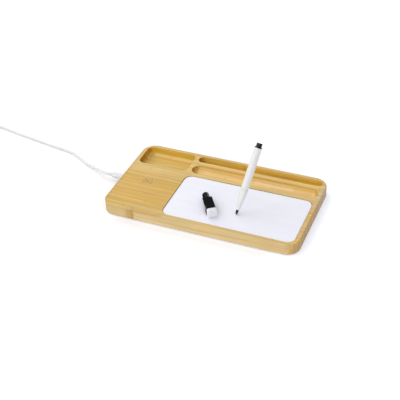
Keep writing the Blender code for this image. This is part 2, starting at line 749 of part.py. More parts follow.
# Charging module
def charging_coil_points():
    """A flat spiral whose two ends run straight for one wire's diameter."""
    points = []
    last = COIL_TURNS * LOOP_STEPS
    for index in range(last + 1):
        turn = math.tau * index / LOOP_STEPS
        radius = COIL_INNER_RADIUS + COIL_PITCH * index / LOOP_STEPS
        x = SPOT_CENTRE[0] + radius * math.cos(turn)
        y = SPOT_CENTRE[1] + radius * math.sin(turn)
        points.append(Vector((x, y, COIL_CENTRE_Z)))
    along = Vector((0, COIL_WIRE, 0))
    return [points[0] - along] + points + [points[-1] + along]


def make_charging_module():
    """The charging coil on its ferrite disc, and the circuit board under them."""
    points = charging_coil_points()
    coil = tube("charging_coil", points, COIL_WIRE, 1)
    finish(coil, (0.62, 0.25, 0.08), 0.35, 1.0)
    gap = least_gap(points, COIL_WIRE, LOOP_STEPS)
    print(f"charging coil: least gap to itself {gap / MM:.2f} mm")
    ferrite = turned(
        "ferrite_disc",
        [
            (0.0, FERRITE_BOTTOM),
            (FERRITE_RADIUS, FERRITE_BOTTOM),
            (FERRITE_RADIUS, FERRITE_TOP),
            (0.0, FERRITE_TOP),
        ],
        CORNER_STEPS * 5,
    )
    finish(move_mesh(ferrite, shifted(*SPOT_CENTRE)), (0.03, 0.03, 0.035), 0.7)
    circuit = slab(
        "circuit_board",
        CIRCUIT_LENGTH,
        CIRCUIT_WIDTH,
        CIRCUIT_CORNER_RADIUS,
        CORNER_STEPS,
        [(0.0, CIRCUIT_BOTTOM), (0.0, CIRCUIT_TOP)],
        BAY_CENTRE,
    )
    finish(circuit, (0.01, 0.16, 0.06), 0.4)
    for index, place in enumerate(circuit_screw_places()):
        name = f"circuit_cutter_{index + 1}"
        low = CIRCUIT_BOTTOM - CUT_OVERRUN
        high = CIRCUIT_TOP + CUT_OVERRUN
        cut(circuit, hole_cutter(name, SCREW_SHANK_RADIUS + SEAT_GAP, low, high, place))
        head_low = CIRCUIT_BOTTOM - SEAT_GAP - SCREW_HEAD_HEIGHT
        screw = turned(
            f"circuit_screw_{index + 1}",
            [
                (0.0, head_low),
                (SCREW_HEAD_RADIUS - SCREW_EDGE, head_low),
                (SCREW_HEAD_RADIUS, head_low + SCREW_EDGE),
                (SCREW_HEAD_RADIUS, CIRCUIT_BOTTOM - SEAT_GAP),
                (SCREW_SHANK_RADIUS, CIRCUIT_BOTTOM - SEAT_GAP),
                (SCREW_SHANK_RADIUS, BAY_ROOF + CIRCUIT_SCREW_BITE - SCREW_TIP),
                (0.0, BAY_ROOF + CIRCUIT_SCREW_BITE),
            ],
            SCREW_STEPS,
        )
        finish(move_mesh(screw, shifted(*place)), STEEL, 0.35, 1.0)
    foam = slab(
        "foam_pad",
        BAY_LENGTH - 2 * FOAM_EDGE_GAP,
        BAY_WIDTH - 2 * FOAM_EDGE_GAP,
        BAY_CORNER_RADIUS - FOAM_EDGE_GAP,
        CORNER_STEPS - 2,
        [(0.0, FOAM_BOTTOM), (0.0, FOAM_TOP)],
        BAY_CENTRE,
    )
    finish(foam, (0.08, 0.08, 0.09), 0.95)


def component(name, size, place, colour, roughness, metallic=0.0):
    """A small moulded component that hangs under the circuit board."""
    length, width, height = size
    sides = arc_in(COMPONENT_EDGE, 1, COMPONENT_TOP - height) + [(0.0, COMPONENT_TOP)]
    middle = (BAY_CENTRE[0] + place[0], BAY_CENTRE[1] + place[1])
    made = slab(name, length, width, 2 * COMPONENT_EDGE, 2, sides, middle)
    return finish(made, colour, roughness, metallic)


def make_components():
    component("charge_controller", CONTROLLER_SIZE, CONTROLLER_PLACE, BLACK_PLASTIC, 0.4)
    for index, place in enumerate(CAPACITOR_PLACES):
        component(f"capacitor_{index + 1}", CAPACITOR_SIZE, place, (0.45, 0.33, 0.2), 0.4)
    low = COMPONENT_TOP - INDUCTOR_HEIGHT
    inductor = turned(
        "power_inductor",
        [
            (0.0, low),
            (INDUCTOR_RADIUS - COMPONENT_EDGE, low),
            (INDUCTOR_RADIUS, low + COMPONENT_EDGE),
            (INDUCTOR_RADIUS, COMPONENT_TOP),
            (0.0, COMPONENT_TOP),
        ],
        FOOT_STEPS,
    )
    x = BAY_CENTRE[0] + INDUCTOR_PLACE[0]
    y = BAY_CENTRE[1] + INDUCTOR_PLACE[1]
    finish(move_mesh(inductor, shifted(x, y)), (0.04, 0.04, 0.045), 0.6)


# Charging port
def flat_tube(name, height, width, wall, low, high, corner=None):
    """A flat tube along +X, open at both ends, with its middle line at the origin."""
    radius = height / 2 if corner is None else corner
    outer = slab(name, height, width, radius, PORT_STEPS, [(0.0, low), (0.0, high)])
    along_x(outer)
    inner = slab(
        name + "_cutter",
        height - 2 * wall,
        width - 2 * wall,
        max(radius - wall, wall),
        PORT_STEPS,
        [(0.0, low - CUT_OVERRUN), (0.0, high + CUT_OVERRUN)],
    )
    along_x(inner)
    cut(outer, inner)
    return outer, inner


def place_at_port(*pieces):
    for piece in pieces:
        move_mesh(piece, shifted(0.0, PORT_CENTRE_Y, PORT_CENTRE_Z))


def make_port():
    """The steel shell of the port and the tongue inside it."""
    shell, inner = flat_tube("port_shell", PORT_HEIGHT, PORT_WIDTH, PORT_WALL, PORT_MOUTH, PORT_END)
    place_at_port(shell, inner)
    finish(shell, STEEL, 0.3, 1.0)
    base_height = PORT_HEIGHT - 2 * PORT_WALL - 2 * PLUG_SHELL_FIT
    base_width = PORT_WIDTH - 2 * PORT_WALL - 2 * PLUG_SHELL_FIT
    base = slab(
        "port_tongue",
        base_height,
        base_width,
        base_height / 2,
        PORT_STEPS,
        [(0.0, PORT_END - PORT_BACK), (0.0, PORT_END)],
    )
    tongue = slab(
        "port_tongue_joiner",
        TONGUE_THICKNESS,
        TONGUE_WIDTH,
        TONGUE_THICKNESS / 3,
        2,
        [(0.0, PORT_MOUTH + TONGUE_FROM_MOUTH), (0.0, PORT_END - PORT_BACK / 2)],
    )
    along_x(base)
    along_x(tongue)
    place_at_port(base, tongue)
    cut(base, tongue, "UNION")
    finish(base, BLACK_PLASTIC, 0.5)


# Lead: the plug at the organizer
def make_plug():
    """The plug's steel shell, moulded body and ribbed strain relief."""
    height = PORT_HEIGHT - 2 * PORT_WALL - 2 * PLUG_SHELL_FIT
    width = PORT_WIDTH - 2 * PORT_WALL - 2 * PLUG_SHELL_FIT
    start = PLUG_FACE + SEAT_GAP
    shell, inner = flat_tube("plug_shell", height, width, PLUG_SHELL_WALL, start, start + PLUG_SHELL_LENGTH)
    place_at_port(shell, inner)
    finish(shell, STEEL, 0.3, 1.0)
    sides = arc_in(PLUG_BODY_EDGE, FILLET_STEPS, PLUG_BACK)
    sides += arc_out(PLUG_BODY_EDGE, FILLET_STEPS, PLUG_FACE)
    body = slab(
        "plug_body",
        PLUG_BODY_HEIGHT,
        PLUG_BODY_WIDTH,
        PLUG_BODY_HEIGHT / 2,
        PORT_STEPS,
        sides,
    )
    along_x(body)
    place_at_port(body)
    finish(body, WHITE_PLASTIC, 0.4)
    relief = ribbed_relief("plug_relief", PLUG_RELIEF_WIDE, PLUG_RELIEF_LENGTH, PLUG_RELIEF_RIBS)
    along_x(relief)
    move_mesh(relief, shifted(CORD_START_X, PORT_CENTRE_Y, PORT_CENTRE_Z))
    finish(relief, WHITE_PLASTIC, 0.5)


def ribbed_relief(name, wide, length, ribs):
    """A tapered strain relief from the cord at z = 0 to the plug's body, with round grooves."""
    narrow = CORD_RADIUS + RELIEF_WALL
    profile = [(0.0, 0.0), (narrow, 0.0)]
    part = length / (ribs + 1)
    for rib in range(ribs):
        for share, depth in RIB_SHARES:
            height = part * (rib + share)
            radius = narrow + (wide - narrow) * height / length - RELIEF_GROOVE * depth
            profile.append((radius, height))
    profile += [(wide, length), (0.0, length)]
    return turned(name, profile, RELIEF_STEPS)


# Lead: the cord
def cord_start():
    return Vector((CORD_START_X - SEAT_GAP, PORT_CENTRE_Y, PORT_CENTRE_Z))


def lead_points():
    """The free stretch from the plug to the coil."""
    base = cord_start()
    return smooth_route([base + Vector(point) for point in CORD_LEAD_ROUTE], CORD_LEAD_STEPS)


def cord_coil_turn():
    """How far the coil turns in all, in radians."""
    return math.radians(360 * CORD_COIL_TURNS + CORD_COIL_EXTRA_DEGREES)


def cord_coil_outer():
    return CORD_COIL_INNER + CORD_COIL_PITCH * cord_coil_turn() / 2 / math.tau


def cord_coil_low():
    """Height of the middle of the lower layer, which lies in its tie."""
    return TIE_THICKNESS + TIE_GAP + CORD_RADIUS


def cord_coil_centre():
    """Middle of the coil, beside the end of the free stretch so that the cord runs into it."""
    end = Vector(lead_points()[-1])
    start = math.radians(CORD_COIL_START_DEGREES)
    way = Vector((-math.sin(start), math.cos(start), 0))
    side = Vector((math.cos(start), math.sin(start), 0))
    middle = end + way * (SEAT_GAP + CORD_DIAMETER) - side * cord_coil_outer()
    return Vector((middle.x, middle.y, 0))


def coil_points():
    """Two layers of turns: in along the lower one, up in half a turn, and out along the upper one."""
    centre = cord_coil_centre()
    whole = cord_coil_turn()
    start = math.radians(CORD_COIL_START_DEGREES)
    count = round(whole / math.tau * LOOP_STEPS)
    points = []
    for index in range(count + 1):
        turn = whole * index / count
        from_middle = turn - whole / 2
        radius = CORD_COIL_INNER + CORD_COIL_PITCH * abs(from_middle) / math.tau
        climb = min(max(from_middle / math.pi + 0.5, 0), 1)
        rise = CORD_COIL_PITCH * climb * climb * (3 - 2 * climb)
        x = centre.x + radius * math.cos(start + turn)
        y = centre.y + radius * math.sin(start + turn)
        points.append(Vector((x, y, cord_coil_low() + rise)))
    ends = []
    for near, inner in ((points[0], start), (points[-1], start + whole)):
        way = Vector((-math.sin(inner), math.cos(inner), 0)) * CORD_DIAMETER
        ends.append(near - way if near is points[0] else near + way)
    return [ends[0]] + points + [ends[1]]


def make_cord():
    lead = lead_points()
    coil = coil_points()
    tail = tail_points(coil)
    for name, points, resolution in (("cord_lead", lead, 2), ("cord_coil", coil, 1), ("cord_tail", tail, 2)):
        finish(tube(name, points, CORD_DIAMETER, resolution), WHITE_PLASTIC, 0.55)
    gap = least_gap(coil, CORD_DIAMETER, LOOP_STEPS)
    print(f"cord coil: least gap to itself {gap / MM:.2f} mm")
    whole = sum(
        (Vector(other) - Vector(one)).length
        for points in (lead, coil, tail)
        for one, other in zip(points, points[1:])
    )
    print(f"cord: whole length {whole / MM:.0f} mm")
    make_tie()
    make_supply_plug(tail)


def coil_exit(coil):
    """Where the coil ends, and the way it runs there."""
    way = (Vector(coil[-1]) - Vector(coil[-2])).normalized()
    return Vector(coil[-1]), way


def tail_points(coil):
    """The short stretch from the coil down to the supply plug."""
    end, way = coil_exit(coil)
    level = end + way * SEAT_GAP
    plug_height = SUPPLY_BODY_HEIGHT / 2
    route = []
    first, last = SUPPLY_DROP_SHARES
    for share in SUPPLY_TAIL_SHARES:
        ease = min(max((share - first) / (last - first), 0), 1)
        drop = (plug_height - level.z) * ease * ease * (3 - 2 * ease)
        route.append(level + way * (SUPPLY_TAIL_LENGTH * share) + Vector((0, 0, drop)))
    return smooth_route(route, CORD_TAIL_STEPS)


def make_tie():
    """A flat strap round all the turns of the coil, at one place."""
    half_turns = cord_coil_outer() - CORD_COIL_INNER
    middle = CORD_COIL_INNER + half_turns / 2 + tie_shift()
    across = turns_across() + 2 * TIE_SIDE_GAP
    high = CORD_DIAMETER + CORD_COIL_PITCH + 2 * TIE_GAP
    half = TIE_WIDTH / 2
    outer = slab(
        "cord_tie",
        across + 2 * TIE_THICKNESS,
        high + 2 * TIE_THICKNESS,
        TIE_CORNER + TIE_THICKNESS,
        TIE_STEPS,
        [(0.0, -half), (0.0, half)],
    )
    longer = [(0.0, -half - CUT_OVERRUN), (0.0, half + CUT_OVERRUN)]
    inner = slab("cord_tie_cutter", across, high, TIE_CORNER, TIE_STEPS, longer)
    turn = math.radians(TIE_DEGREES)
    centre = cord_coil_centre()
    for piece in (outer, inner):
        move_mesh(piece, Matrix.Rotation(math.radians(90), 4, "X"))
        move_mesh(piece, shifted(middle, 0.0, TIE_THICKNESS + high / 2))
        move_mesh(piece, Matrix.Rotation(turn, 4, "Z"))
        move_mesh(piece, shifted(centre.x, centre.y))
    cut(outer, inner)
    finish(outer, BLACK_PLASTIC, 0.8)


def tie_radii():
    """The radii at which the turns pass the tie."""
    whole = cord_coil_turn()
    first = math.radians(TIE_DEGREES - CORD_COIL_START_DEGREES) % math.tau
    radii = []
    while first <= whole:
        radii.append(CORD_COIL_INNER + CORD_COIL_PITCH * abs(first - whole / 2) / math.tau)
        first += math.tau
    return radii


def turns_across():
    radii = tie_radii()
    return max(radii) - min(radii) + CORD_DIAMETER


def tie_shift():
    """How far the turns at the tie lie from the middle of the whole winding."""
    radii = tie_radii()
    return (max(radii) + min(radii)) / 2 - (cord_coil_outer() + CORD_COIL_INNER) / 2


# Lead: the plug at the supply end
def make_supply_plug(tail):
    """The flat supply plug that lies beside the coil."""
    end = Vector(tail[-1])
    way = (Vector(tail[-1]) - Vector(tail[-2])).normalized()
    heading = math.atan2(way.y, way.x)
    relief_start = SEAT_GAP
    body_start = relief_start + PLUG_RELIEF_LENGTH + SEAT_GAP
    body_end = body_start + SUPPLY_BODY_LENGTH
    shell_start = body_end + SEAT_GAP
    shell_end = shell_start + SUPPLY_SHELL_LENGTH
    relief = ribbed_relief("supply_relief", PLUG_RELIEF_WIDE, PLUG_RELIEF_LENGTH, PLUG_RELIEF_RIBS)
    along_x(relief)
    move_mesh(relief, shifted(relief_start, 0.0))
    finish(relief, WHITE_PLASTIC, 0.5)
    sides = arc_in(SUPPLY_BODY_EDGE, FILLET_STEPS, body_start)
    sides += arc_out(SUPPLY_BODY_EDGE, FILLET_STEPS, body_end)
    body = slab(
        "supply_body",
        SUPPLY_BODY_HEIGHT,
        SUPPLY_BODY_WIDTH,
        2 * SUPPLY_BODY_EDGE,
        PORT_STEPS,
        sides,
    )
    along_x(body)
    finish(body, WHITE_PLASTIC, 0.4)
    shell, inner = flat_tube(
        "supply_shell",
        SUPPLY_SHELL_HEIGHT,
        SUPPLY_SHELL_WIDTH,
        SUPPLY_SHELL_WALL,
        shell_start,
        shell_end,
        SUPPLY_SHELL_CORNER,
    )
    finish(shell, STEEL, 0.3, 1.0)
    low = SUPPLY_SHELL_HEIGHT / 2 - SUPPLY_SHELL_WALL - SEAT_GAP
    tongue_sides = [(0.0, shell_start), (0.0, shell_end - SUPPLY_TONGUE_SETBACK)]
    tongue = slab(
        "supply_tongue",
        SUPPLY_TONGUE_THICKNESS,
        SUPPLY_SHELL_WIDTH - 2 * SUPPLY_SHELL_WALL - 2 * SEAT_GAP,
        SUPPLY_SHELL_CORNER / 2,
        2,
        tongue_sides,
    )
    along_x(tongue)
    move_mesh(tongue, shifted(0.0, 0.0, SUPPLY_TONGUE_THICKNESS / 2 - low))
    finish(tongue, WHITE_PLASTIC, 0.5)
    for piece in (relief, body, shell, inner, tongue):
        move_mesh(piece, Matrix.Rotation(heading, 4, "Z"))
        move_mesh(piece, Matrix.Translation(end))


# Marker
def make_marker():
    """The marker, built upwards from the tip of its nib and carried by an empty at that tip."""
    tip = bpy.data.objects.new("marker_axis", None)
    bpy.context.scene.collection.objects.link(tip)
    x = BOARD_CENTRE[0] + MARKER_TIP_FROM_BOARD[0]
    y = BOARD_CENTRE[1] + MARKER_TIP_FROM_BOARD[1]
    tip.location = (x, y, PANEL_TOP + SEAT_GAP)
    tip.rotation_euler = (0, math.radians(MARKER_TILT_DEGREES), math.radians(MARKER_HEADING_DEGREES))
    nose_low = NIB_LENGTH
    nose_high = nose_low + NOSE_LENGTH
    barrel_low = nose_high + SEAT_GAP
    barrel_high = barrel_low + BARREL_LENGTH
    bore = BARREL_RADIUS - BARREL_WALL
    pieces = [
        make_nib(),
        make_nose(nose_low, nose_high, bore),
        make_barrel(barrel_low, barrel_high, bore),
        make_reservoir(nose_high + NOSE_SPIGOT_LENGTH + SEAT_GAP, bore),
        make_end_plug(barrel_high + SEAT_GAP, bore),
    ]
    for piece in pieces:
        piece.parent = tip


def make_nib():
    shank = NIB_RADIUS - SEAT_GAP
    profile = [(0.0, 0.0)]
    for step in range(1, FILLET_STEPS + 1):
        turn = math.radians(90) * step / FILLET_STEPS
        profile.append((NIB_TIP_RADIUS * math.sin(turn), NIB_TIP_RADIUS * (1 - math.cos(turn))))
    profile += [
        (NIB_RADIUS, NIB_LENGTH * 2 / 3),
        (NIB_RADIUS, NIB_LENGTH - SEAT_GAP),
        (shank, NIB_LENGTH - SEAT_GAP),
        (shank, NIB_LENGTH + NIB_SHANK_LENGTH),
        (0.0, NIB_LENGTH + NIB_SHANK_LENGTH),
    ]
    return finish(turned("marker_nib", profile, MARKER_STEPS // 2), BLACK_PLASTIC, 0.9)


def make_nose(low, high, bore):
    """The tapered nose, swollen a little, with a bored middle for the nib and a spigot in the barrel."""
    nib_bore = NIB_RADIUS
    profile = [(nib_bore, low), (NOSE_MOUTH_RADIUS - MARKER_EDGE / 2, low)]
    steps = CORNER_STEPS
    for step in range(steps + 1):
        share = step / steps
        radius = NOSE_MOUTH_RADIUS + (BARREL_RADIUS - NOSE_MOUTH_RADIUS) * share
        radius += NOSE_SWELL * math.sin(math.pi * share) * share
        profile.append((radius, low + MARKER_EDGE / 2 + (NOSE_LENGTH - MARKER_EDGE / 2) * share))
    spigot = bore - SEAT_GAP
    profile += [
        (spigot, high),
        (spigot, high + NOSE_SPIGOT_LENGTH),
        (nib_bore, high + NOSE_SPIGOT_LENGTH),
    ]
    return finish(turned("marker_nose", profile, MARKER_STEPS, closed=True), WHITE_PLASTIC, 0.35)


def make_barrel(low, high, bore):
    profile = [
        (bore, low),
        (BARREL_RADIUS, low),
        (BARREL_RADIUS, high - MARKER_EDGE),
        (BARREL_RADIUS - MARKER_EDGE, high),
        (bore, high),
    ]
    return finish(turned("marker_barrel", profile, MARKER_STEPS, closed=True), WHITE_PLASTIC, 0.35)


def make_reservoir(low, bore):
    radius = bore - SEAT_GAP
    profile = [
        (0.0, low),
        (radius, low),
        (radius, low + RESERVOIR_LENGTH),
        (0.0, low + RESERVOIR_LENGTH),
    ]
    return finish(turned("ink_reservoir", profile, MARKER_STEPS // 2), (0.02, 0.02, 0.022), 0.95)


def make_end_plug(low, bore):
    """The stepped black plug in the end of the barrel."""
    spigot = bore - SEAT_GAP
    flange_high = low + END_FLANGE_THICKNESS
    neck_high = flange_high + END_NECK_LENGTH
    profile = [
        (0.0, low - END_SPIGOT_LENGTH),
        (spigot - MARKER_EDGE, low - END_SPIGOT_LENGTH),
        (spigot, low - END_SPIGOT_LENGTH + MARKER_EDGE),
        (spigot, low),
        (BARREL_RADIUS, low),
        (BARREL_RADIUS, flange_high - MARKER_EDGE),
        (BARREL_RADIUS - MARKER_EDGE, flange_high),
        (END_NECK_RADIUS, flange_high),
        (END_NECK_RADIUS, neck_high - 2 * MARKER_EDGE),
        (END_LIP_RADIUS, neck_high - MARKER_EDGE),
        (END_LIP_RADIUS - MARKER_EDGE, neck_high),
        (0.0, neck_high),
    ]
    return finish(turned("marker_end_plug", profile, MARKER_STEPS), BLACK_PLASTIC, 0.3)


# Cap
def make_cap():
    """The marker's cap, built from the mouth of its collar and laid down by an empty at that mouth."""
    mouth = bpy.data.objects.new("cap_axis", None)
    bpy.context.scene.collection.objects.link(mouth)
    x = BOARD_CENTRE[0] + CAP_MOUTH_FROM_BOARD[0]
    y = BOARD_CENTRE[1] + CAP_MOUTH_FROM_BOARD[1]
    mouth.location = (x, y, PANEL_TOP + SEAT_GAP + max(CAP_BODY_HEIGHT, ERASER_HEIGHT) / 2)
    mouth.rotation_euler = (0, math.radians(90), math.radians(CAP_HEADING_DEGREES))
    body_end = CAP_COLLAR_LENGTH + CAP_BODY_LENGTH
    sides = arc_in(CAP_EDGE, FILLET_STEPS - 1, CAP_COLLAR_LENGTH)
    sides += arc_out(CAP_EDGE, FILLET_STEPS - 1, body_end)
    shell = slab("cap_shell", CAP_BODY_HEIGHT, CAP_BODY_WIDTH, CAP_BODY_CORNER, CAP_CORNER_STEPS, sides)
    collar = turned(
        "cap_collar_joiner",
        [
            (0.0, 0.0),
            (CAP_COLLAR_RADIUS - CAP_EDGE, 0.0),
            (CAP_COLLAR_RADIUS, CAP_EDGE),
            (CAP_COLLAR_RADIUS, CAP_COLLAR_LENGTH + CAP_BODY_LENGTH / 2),
            (0.0, CAP_COLLAR_LENGTH + CAP_BODY_LENGTH / 2),
        ],
        CAP_COLLAR_STEPS,
    )
    bore = turned(
        "cap_bore_cutter",
        [
            (0.0, -CUT_OVERRUN),
            (CAP_BORE_RADIUS, -CUT_OVERRUN),
            (CAP_BORE_RADIUS, CAP_BORE_LENGTH),
            (0.0, CAP_BORE_LENGTH + CAP_BORE_RADIUS / 2),
        ],
        CAP_COLLAR_STEPS,
    )
    cut(shell, collar, "UNION")
    cut(shell, bore)
    finish(shell, BLACK_PLASTIC, 0.35)
    magnet = slab(
        "cap_magnet",
        MAGNET_HEIGHT,
        MAGNET_THICKNESS,
        MAGNET_CORNER,
        2,
        [(0.0, body_end - MAGNET_LENGTH), (0.0, body_end)],
    )
    move_mesh(magnet, shifted(0.0, -(CAP_BODY_WIDTH + MAGNET_THICKNESS) / 2 - SEAT_GAP))
    finish(magnet, (0.10, 0.09, 0.11), 0.6)
    eraser_start = body_end + SEAT_GAP
    eraser_end = eraser_start + ERASER_THICKNESS
    eraser_sides = [(0.0, eraser_start)] + arc_out(ERASER_EDGE, FILLET_STEPS, eraser_end)
    eraser = slab("eraser_felt", ERASER_HEIGHT, ERASER_WIDTH, ERASER_CORNER, CAP_CORNER_STEPS, eraser_sides)
    finish(eraser, (0.80, 0.81, 0.84), 0.95)
    for piece in (shell, collar, bore, magnet, eraser):
        piece.parent = mouth


make_body()
make_whiteboard()
make_feet()
make_cover()
make_charging_module()
make_components()
make_port()
make_plug()
make_cord()
make_marker()
make_cap()
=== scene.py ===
"""Looks of the bamboo desk organizer with its charging spot, whiteboard, marker, cap and charging lead."""

import json
import math
from functools import partial

import bmesh
import bpy
from mathutils import Matrix, Vector, noise


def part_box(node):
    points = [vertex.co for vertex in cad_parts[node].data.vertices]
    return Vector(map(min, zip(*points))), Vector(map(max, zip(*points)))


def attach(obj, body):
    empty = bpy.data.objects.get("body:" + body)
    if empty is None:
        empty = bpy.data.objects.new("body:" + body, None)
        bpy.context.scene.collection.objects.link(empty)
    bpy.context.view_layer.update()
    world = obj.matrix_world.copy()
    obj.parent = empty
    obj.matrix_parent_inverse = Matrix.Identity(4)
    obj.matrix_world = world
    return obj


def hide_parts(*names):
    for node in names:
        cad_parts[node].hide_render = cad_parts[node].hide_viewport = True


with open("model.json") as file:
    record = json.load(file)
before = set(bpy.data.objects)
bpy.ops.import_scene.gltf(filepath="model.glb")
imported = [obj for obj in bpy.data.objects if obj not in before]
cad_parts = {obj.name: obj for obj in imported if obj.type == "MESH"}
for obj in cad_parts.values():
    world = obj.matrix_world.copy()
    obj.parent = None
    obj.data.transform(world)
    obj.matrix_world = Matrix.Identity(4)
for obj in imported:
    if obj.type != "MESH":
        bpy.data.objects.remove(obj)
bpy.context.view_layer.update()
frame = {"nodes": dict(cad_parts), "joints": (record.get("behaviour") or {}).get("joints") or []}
nodes = frame["nodes"]
MM = 0.001


# Camera
# A long lens well back from the desk, right of the middle and above the front edge, leaning a little.
# Its place was solved from the outline of the board and of its pockets.
VIEW_AZIMUTH = math.radians(24.1043)
VIEW_ELEVATION = math.radians(37.3647)
VIEW_LEAN = math.radians(-2.6999)
VIEW_DISTANCE = 1302.4746 * MM
VIEW_ACROSS = -24.4420 * MM
VIEW_UP = 1.1346 * MM
VIEW_BASE_HEIGHT = 1.0 * MM
LENS_PIXELS = 873.7663
PICTURE_PIXELS = 400
SENSOR_WIDTH = 36.0
FARTHEST_SEEN = 30.0


def new_object(name, data):
    """A new object in the scene."""
    made = bpy.data.objects.new(name, data)
    bpy.context.scene.collection.objects.link(made)
    return made


away = Vector((
    math.sin(VIEW_AZIMUTH) * math.cos(VIEW_ELEVATION),
    -math.cos(VIEW_AZIMUTH) * math.cos(VIEW_ELEVATION),
    math.sin(VIEW_ELEVATION),
))
level = Vector((math.cos(VIEW_AZIMUTH), math.sin(VIEW_AZIMUTH), 0))
above = away.cross(level)
across = math.cos(VIEW_LEAN) * level + math.sin(VIEW_LEAN) * above
upright = math.cos(VIEW_LEAN) * above - math.sin(VIEW_LEAN) * level
camera = new_object("camera", bpy.data.cameras.new("camera"))
camera.data.sensor_width = SENSOR_WIDTH
camera.data.lens = LENS_PIXELS / PICTURE_PIXELS * SENSOR_WIDTH
camera.data.clip_end = FARTHEST_SEEN
camera.matrix_world = Matrix((across, upright, away)).transposed().to_4x4()
camera.location = away * VIEW_DISTANCE + across * VIEW_ACROSS + upright * VIEW_UP
camera.location.z += VIEW_BASE_HEIGHT
bpy.context.scene.camera = camera


# Studio
# A pale seamless floor under broad soft lamps: the main one high on the left, others in front and above.
# The floor is as white as paper to the camera, and still takes the soft shadow of the board, thinned near the
# board by painted light.
FLOOR_SIZE = 6.0
FLOOR_COLOUR = (0.90, 0.885, 0.87, 1)
# The bluish glow over the warm paper is painted light that cancels the warm light the wood throws onto the
# floor.
GLOW_COLOUR = (0.88, 1.0, 1.28, 1)
FLOOR_GLOW = 0.115
GLOW_SLOPE = 0.2
# Which way, from where and to where the floor's own light rises, and by how much
GLOW_LIFTS = (
    ("reach", 0.30, 0.60, 0.13),
    ("reach", 0.60, 3.00, 0.60),
    # Painted light: these lifts thin the board's shadow beside its right side, behind it and under its front
    # edge.
    ("X", 0.10, 0.155, 0.20),
    ("Y", 0.06, 0.10, 0.04),
    ("Y", -0.074, -0.084, 0.15),
    ("Y", -0.085, -0.092, -0.14),
)
ROOM_LIGHT = 0.60
# Where each lamp hangs, how wide it is and how strong
LAMPS = {
    "lamp_left": ((-1.3, 0.5, 1.2), 1.8, 17.0),
    "lamp_front": ((-0.2, -1.7, 0.9), 2.2, 14.0),
    "lamp_above": ((-0.3, 0.5, 1.9), 2.0, 4.0),
}
LAMP_AIM = Vector((0.0, 0.0, 0.01))


def feed(tree, socket, value):
    """Links a socket to another, or sets it to a plain value."""
    if isinstance(value, bpy.types.NodeSocket):
        tree.links.new(value, socket)
    else:
        socket.default_value = value


def put(tree, kind, values=None, **settings):
    """Adds a shader node, with its settings, and with its inputs linked or set."""
    node = tree.nodes.new("ShaderNode" + kind)
    for name, value in settings.items():
        setattr(node, name, value)
    for name, value in (values or {}).items():
        feed(tree, node.inputs[name], value)
    return node


def calc(tree, operation, *values):
    """One step of arithmetic between sockets or numbers."""
    node = put(tree, "Math", operation=operation)
    for socket, value in zip(node.inputs, values):
        feed(tree, socket, value)
    return node.outputs[0]


def parted(tree, vector):
    """The X, Y and Z of a vector."""
    return put(tree, "SeparateXYZ", {"Vector": vector}).outputs


def seen_by_eye(tree):
    """One on rays from the camera, and on those that a mirror or glass sends on."""
    path = put(tree, "LightPath").outputs
    direct = calc(tree, "MAXIMUM", path["Is Camera Ray"], path["Is Glossy Ray"])
    return calc(tree, "MAXIMUM", direct, path["Is Transmission Ray"])


def new_mesh(name, work):
    """A mesh of a bmesh, which is used up."""
    mesh = bpy.data.meshes.new(name)
    work.to_mesh(mesh)
    work.free()
    return mesh


work = bmesh.new()
bmesh.ops.create_grid(work, x_segments=1, y_segments=1, size=FLOOR_SIZE / 2)
floor = new_object("floor", new_mesh("floor", work))
floor_finish = bpy.data.materials.new("floor_paper")
floor_finish.use_nodes = True
tree = floor_finish.node_tree
tree.nodes.remove(tree.nodes["Principled BSDF"])
place = put(tree, "TexCoord").outputs["Object"]
ways = dict(parted(tree, place).items())
ways["reach"] = put(tree, "VectorMath", {0: place}, operation="LENGTH").outputs["Value"]
glow_level = calc(tree, "MULTIPLY_ADD", ways["X"], GLOW_SLOPE, FLOOR_GLOW)
for way, start, end, rise in GLOW_LIFTS:
    ramp = put(tree, "MapRange", {"Value": ways[way], "From Min": start, "From Max": end, "To Max": rise})
    glow_level = calc(tree, "ADD", glow_level, ramp.outputs["Result"])
glow_level = calc(tree, "MULTIPLY", seen_by_eye(tree), calc(tree, "MAXIMUM", glow_level, 0.0))
paper = put(tree, "BsdfDiffuse", {"Color": FLOOR_COLOUR})
glow = put(tree, "Emission", {"Color": GLOW_COLOUR, "Strength": glow_level})
both = put(tree, "AddShader", {0: paper.outputs[0], 1: glow.outputs[0]})
feed(tree, tree.nodes["Material Output"].inputs["Surface"], both.outputs[0])
floor.data.materials.append(floor_finish)

for name, (place, size, power) in LAMPS.items():
    light = bpy.data.lights.new(name, "AREA")
    light.size = size
    light.energy = power
    lamp = new_object(name, light)
    lamp.visible_camera = False
    lamp.location = place
    lamp.rotation_euler = (LAMP_AIM - lamp.location).to_track_quat("-Z", "Y").to_euler()

world = bpy.context.scene.world or bpy.data.worlds.new("studio")
bpy.context.scene.world = world
world.use_nodes = True
tree = world.node_tree
backdrop = tree.nodes["Background"]
seen = calc(tree, "MULTIPLY", seen_by_eye(tree), 1.0 - ROOM_LIGHT)
backdrop.inputs["Color"].default_value = (1, 1, 1, 1)
feed(tree, backdrop.inputs["Strength"], calc(tree, "ADD", seen, ROOM_LIGHT))
bpy.context.scene.view_settings.view_transform = "Standard"


# Cord of the charging lead
# A round white cord, 3.5 mm thick and about a metre long, moulded in soft plastic. It leaves its plug on the
# left, comes down to the desk in loose curves, and the spare length is wound up in two layers.
FIT = 0.3 * MM
CORD_DIAMETER = 3.5 * MM
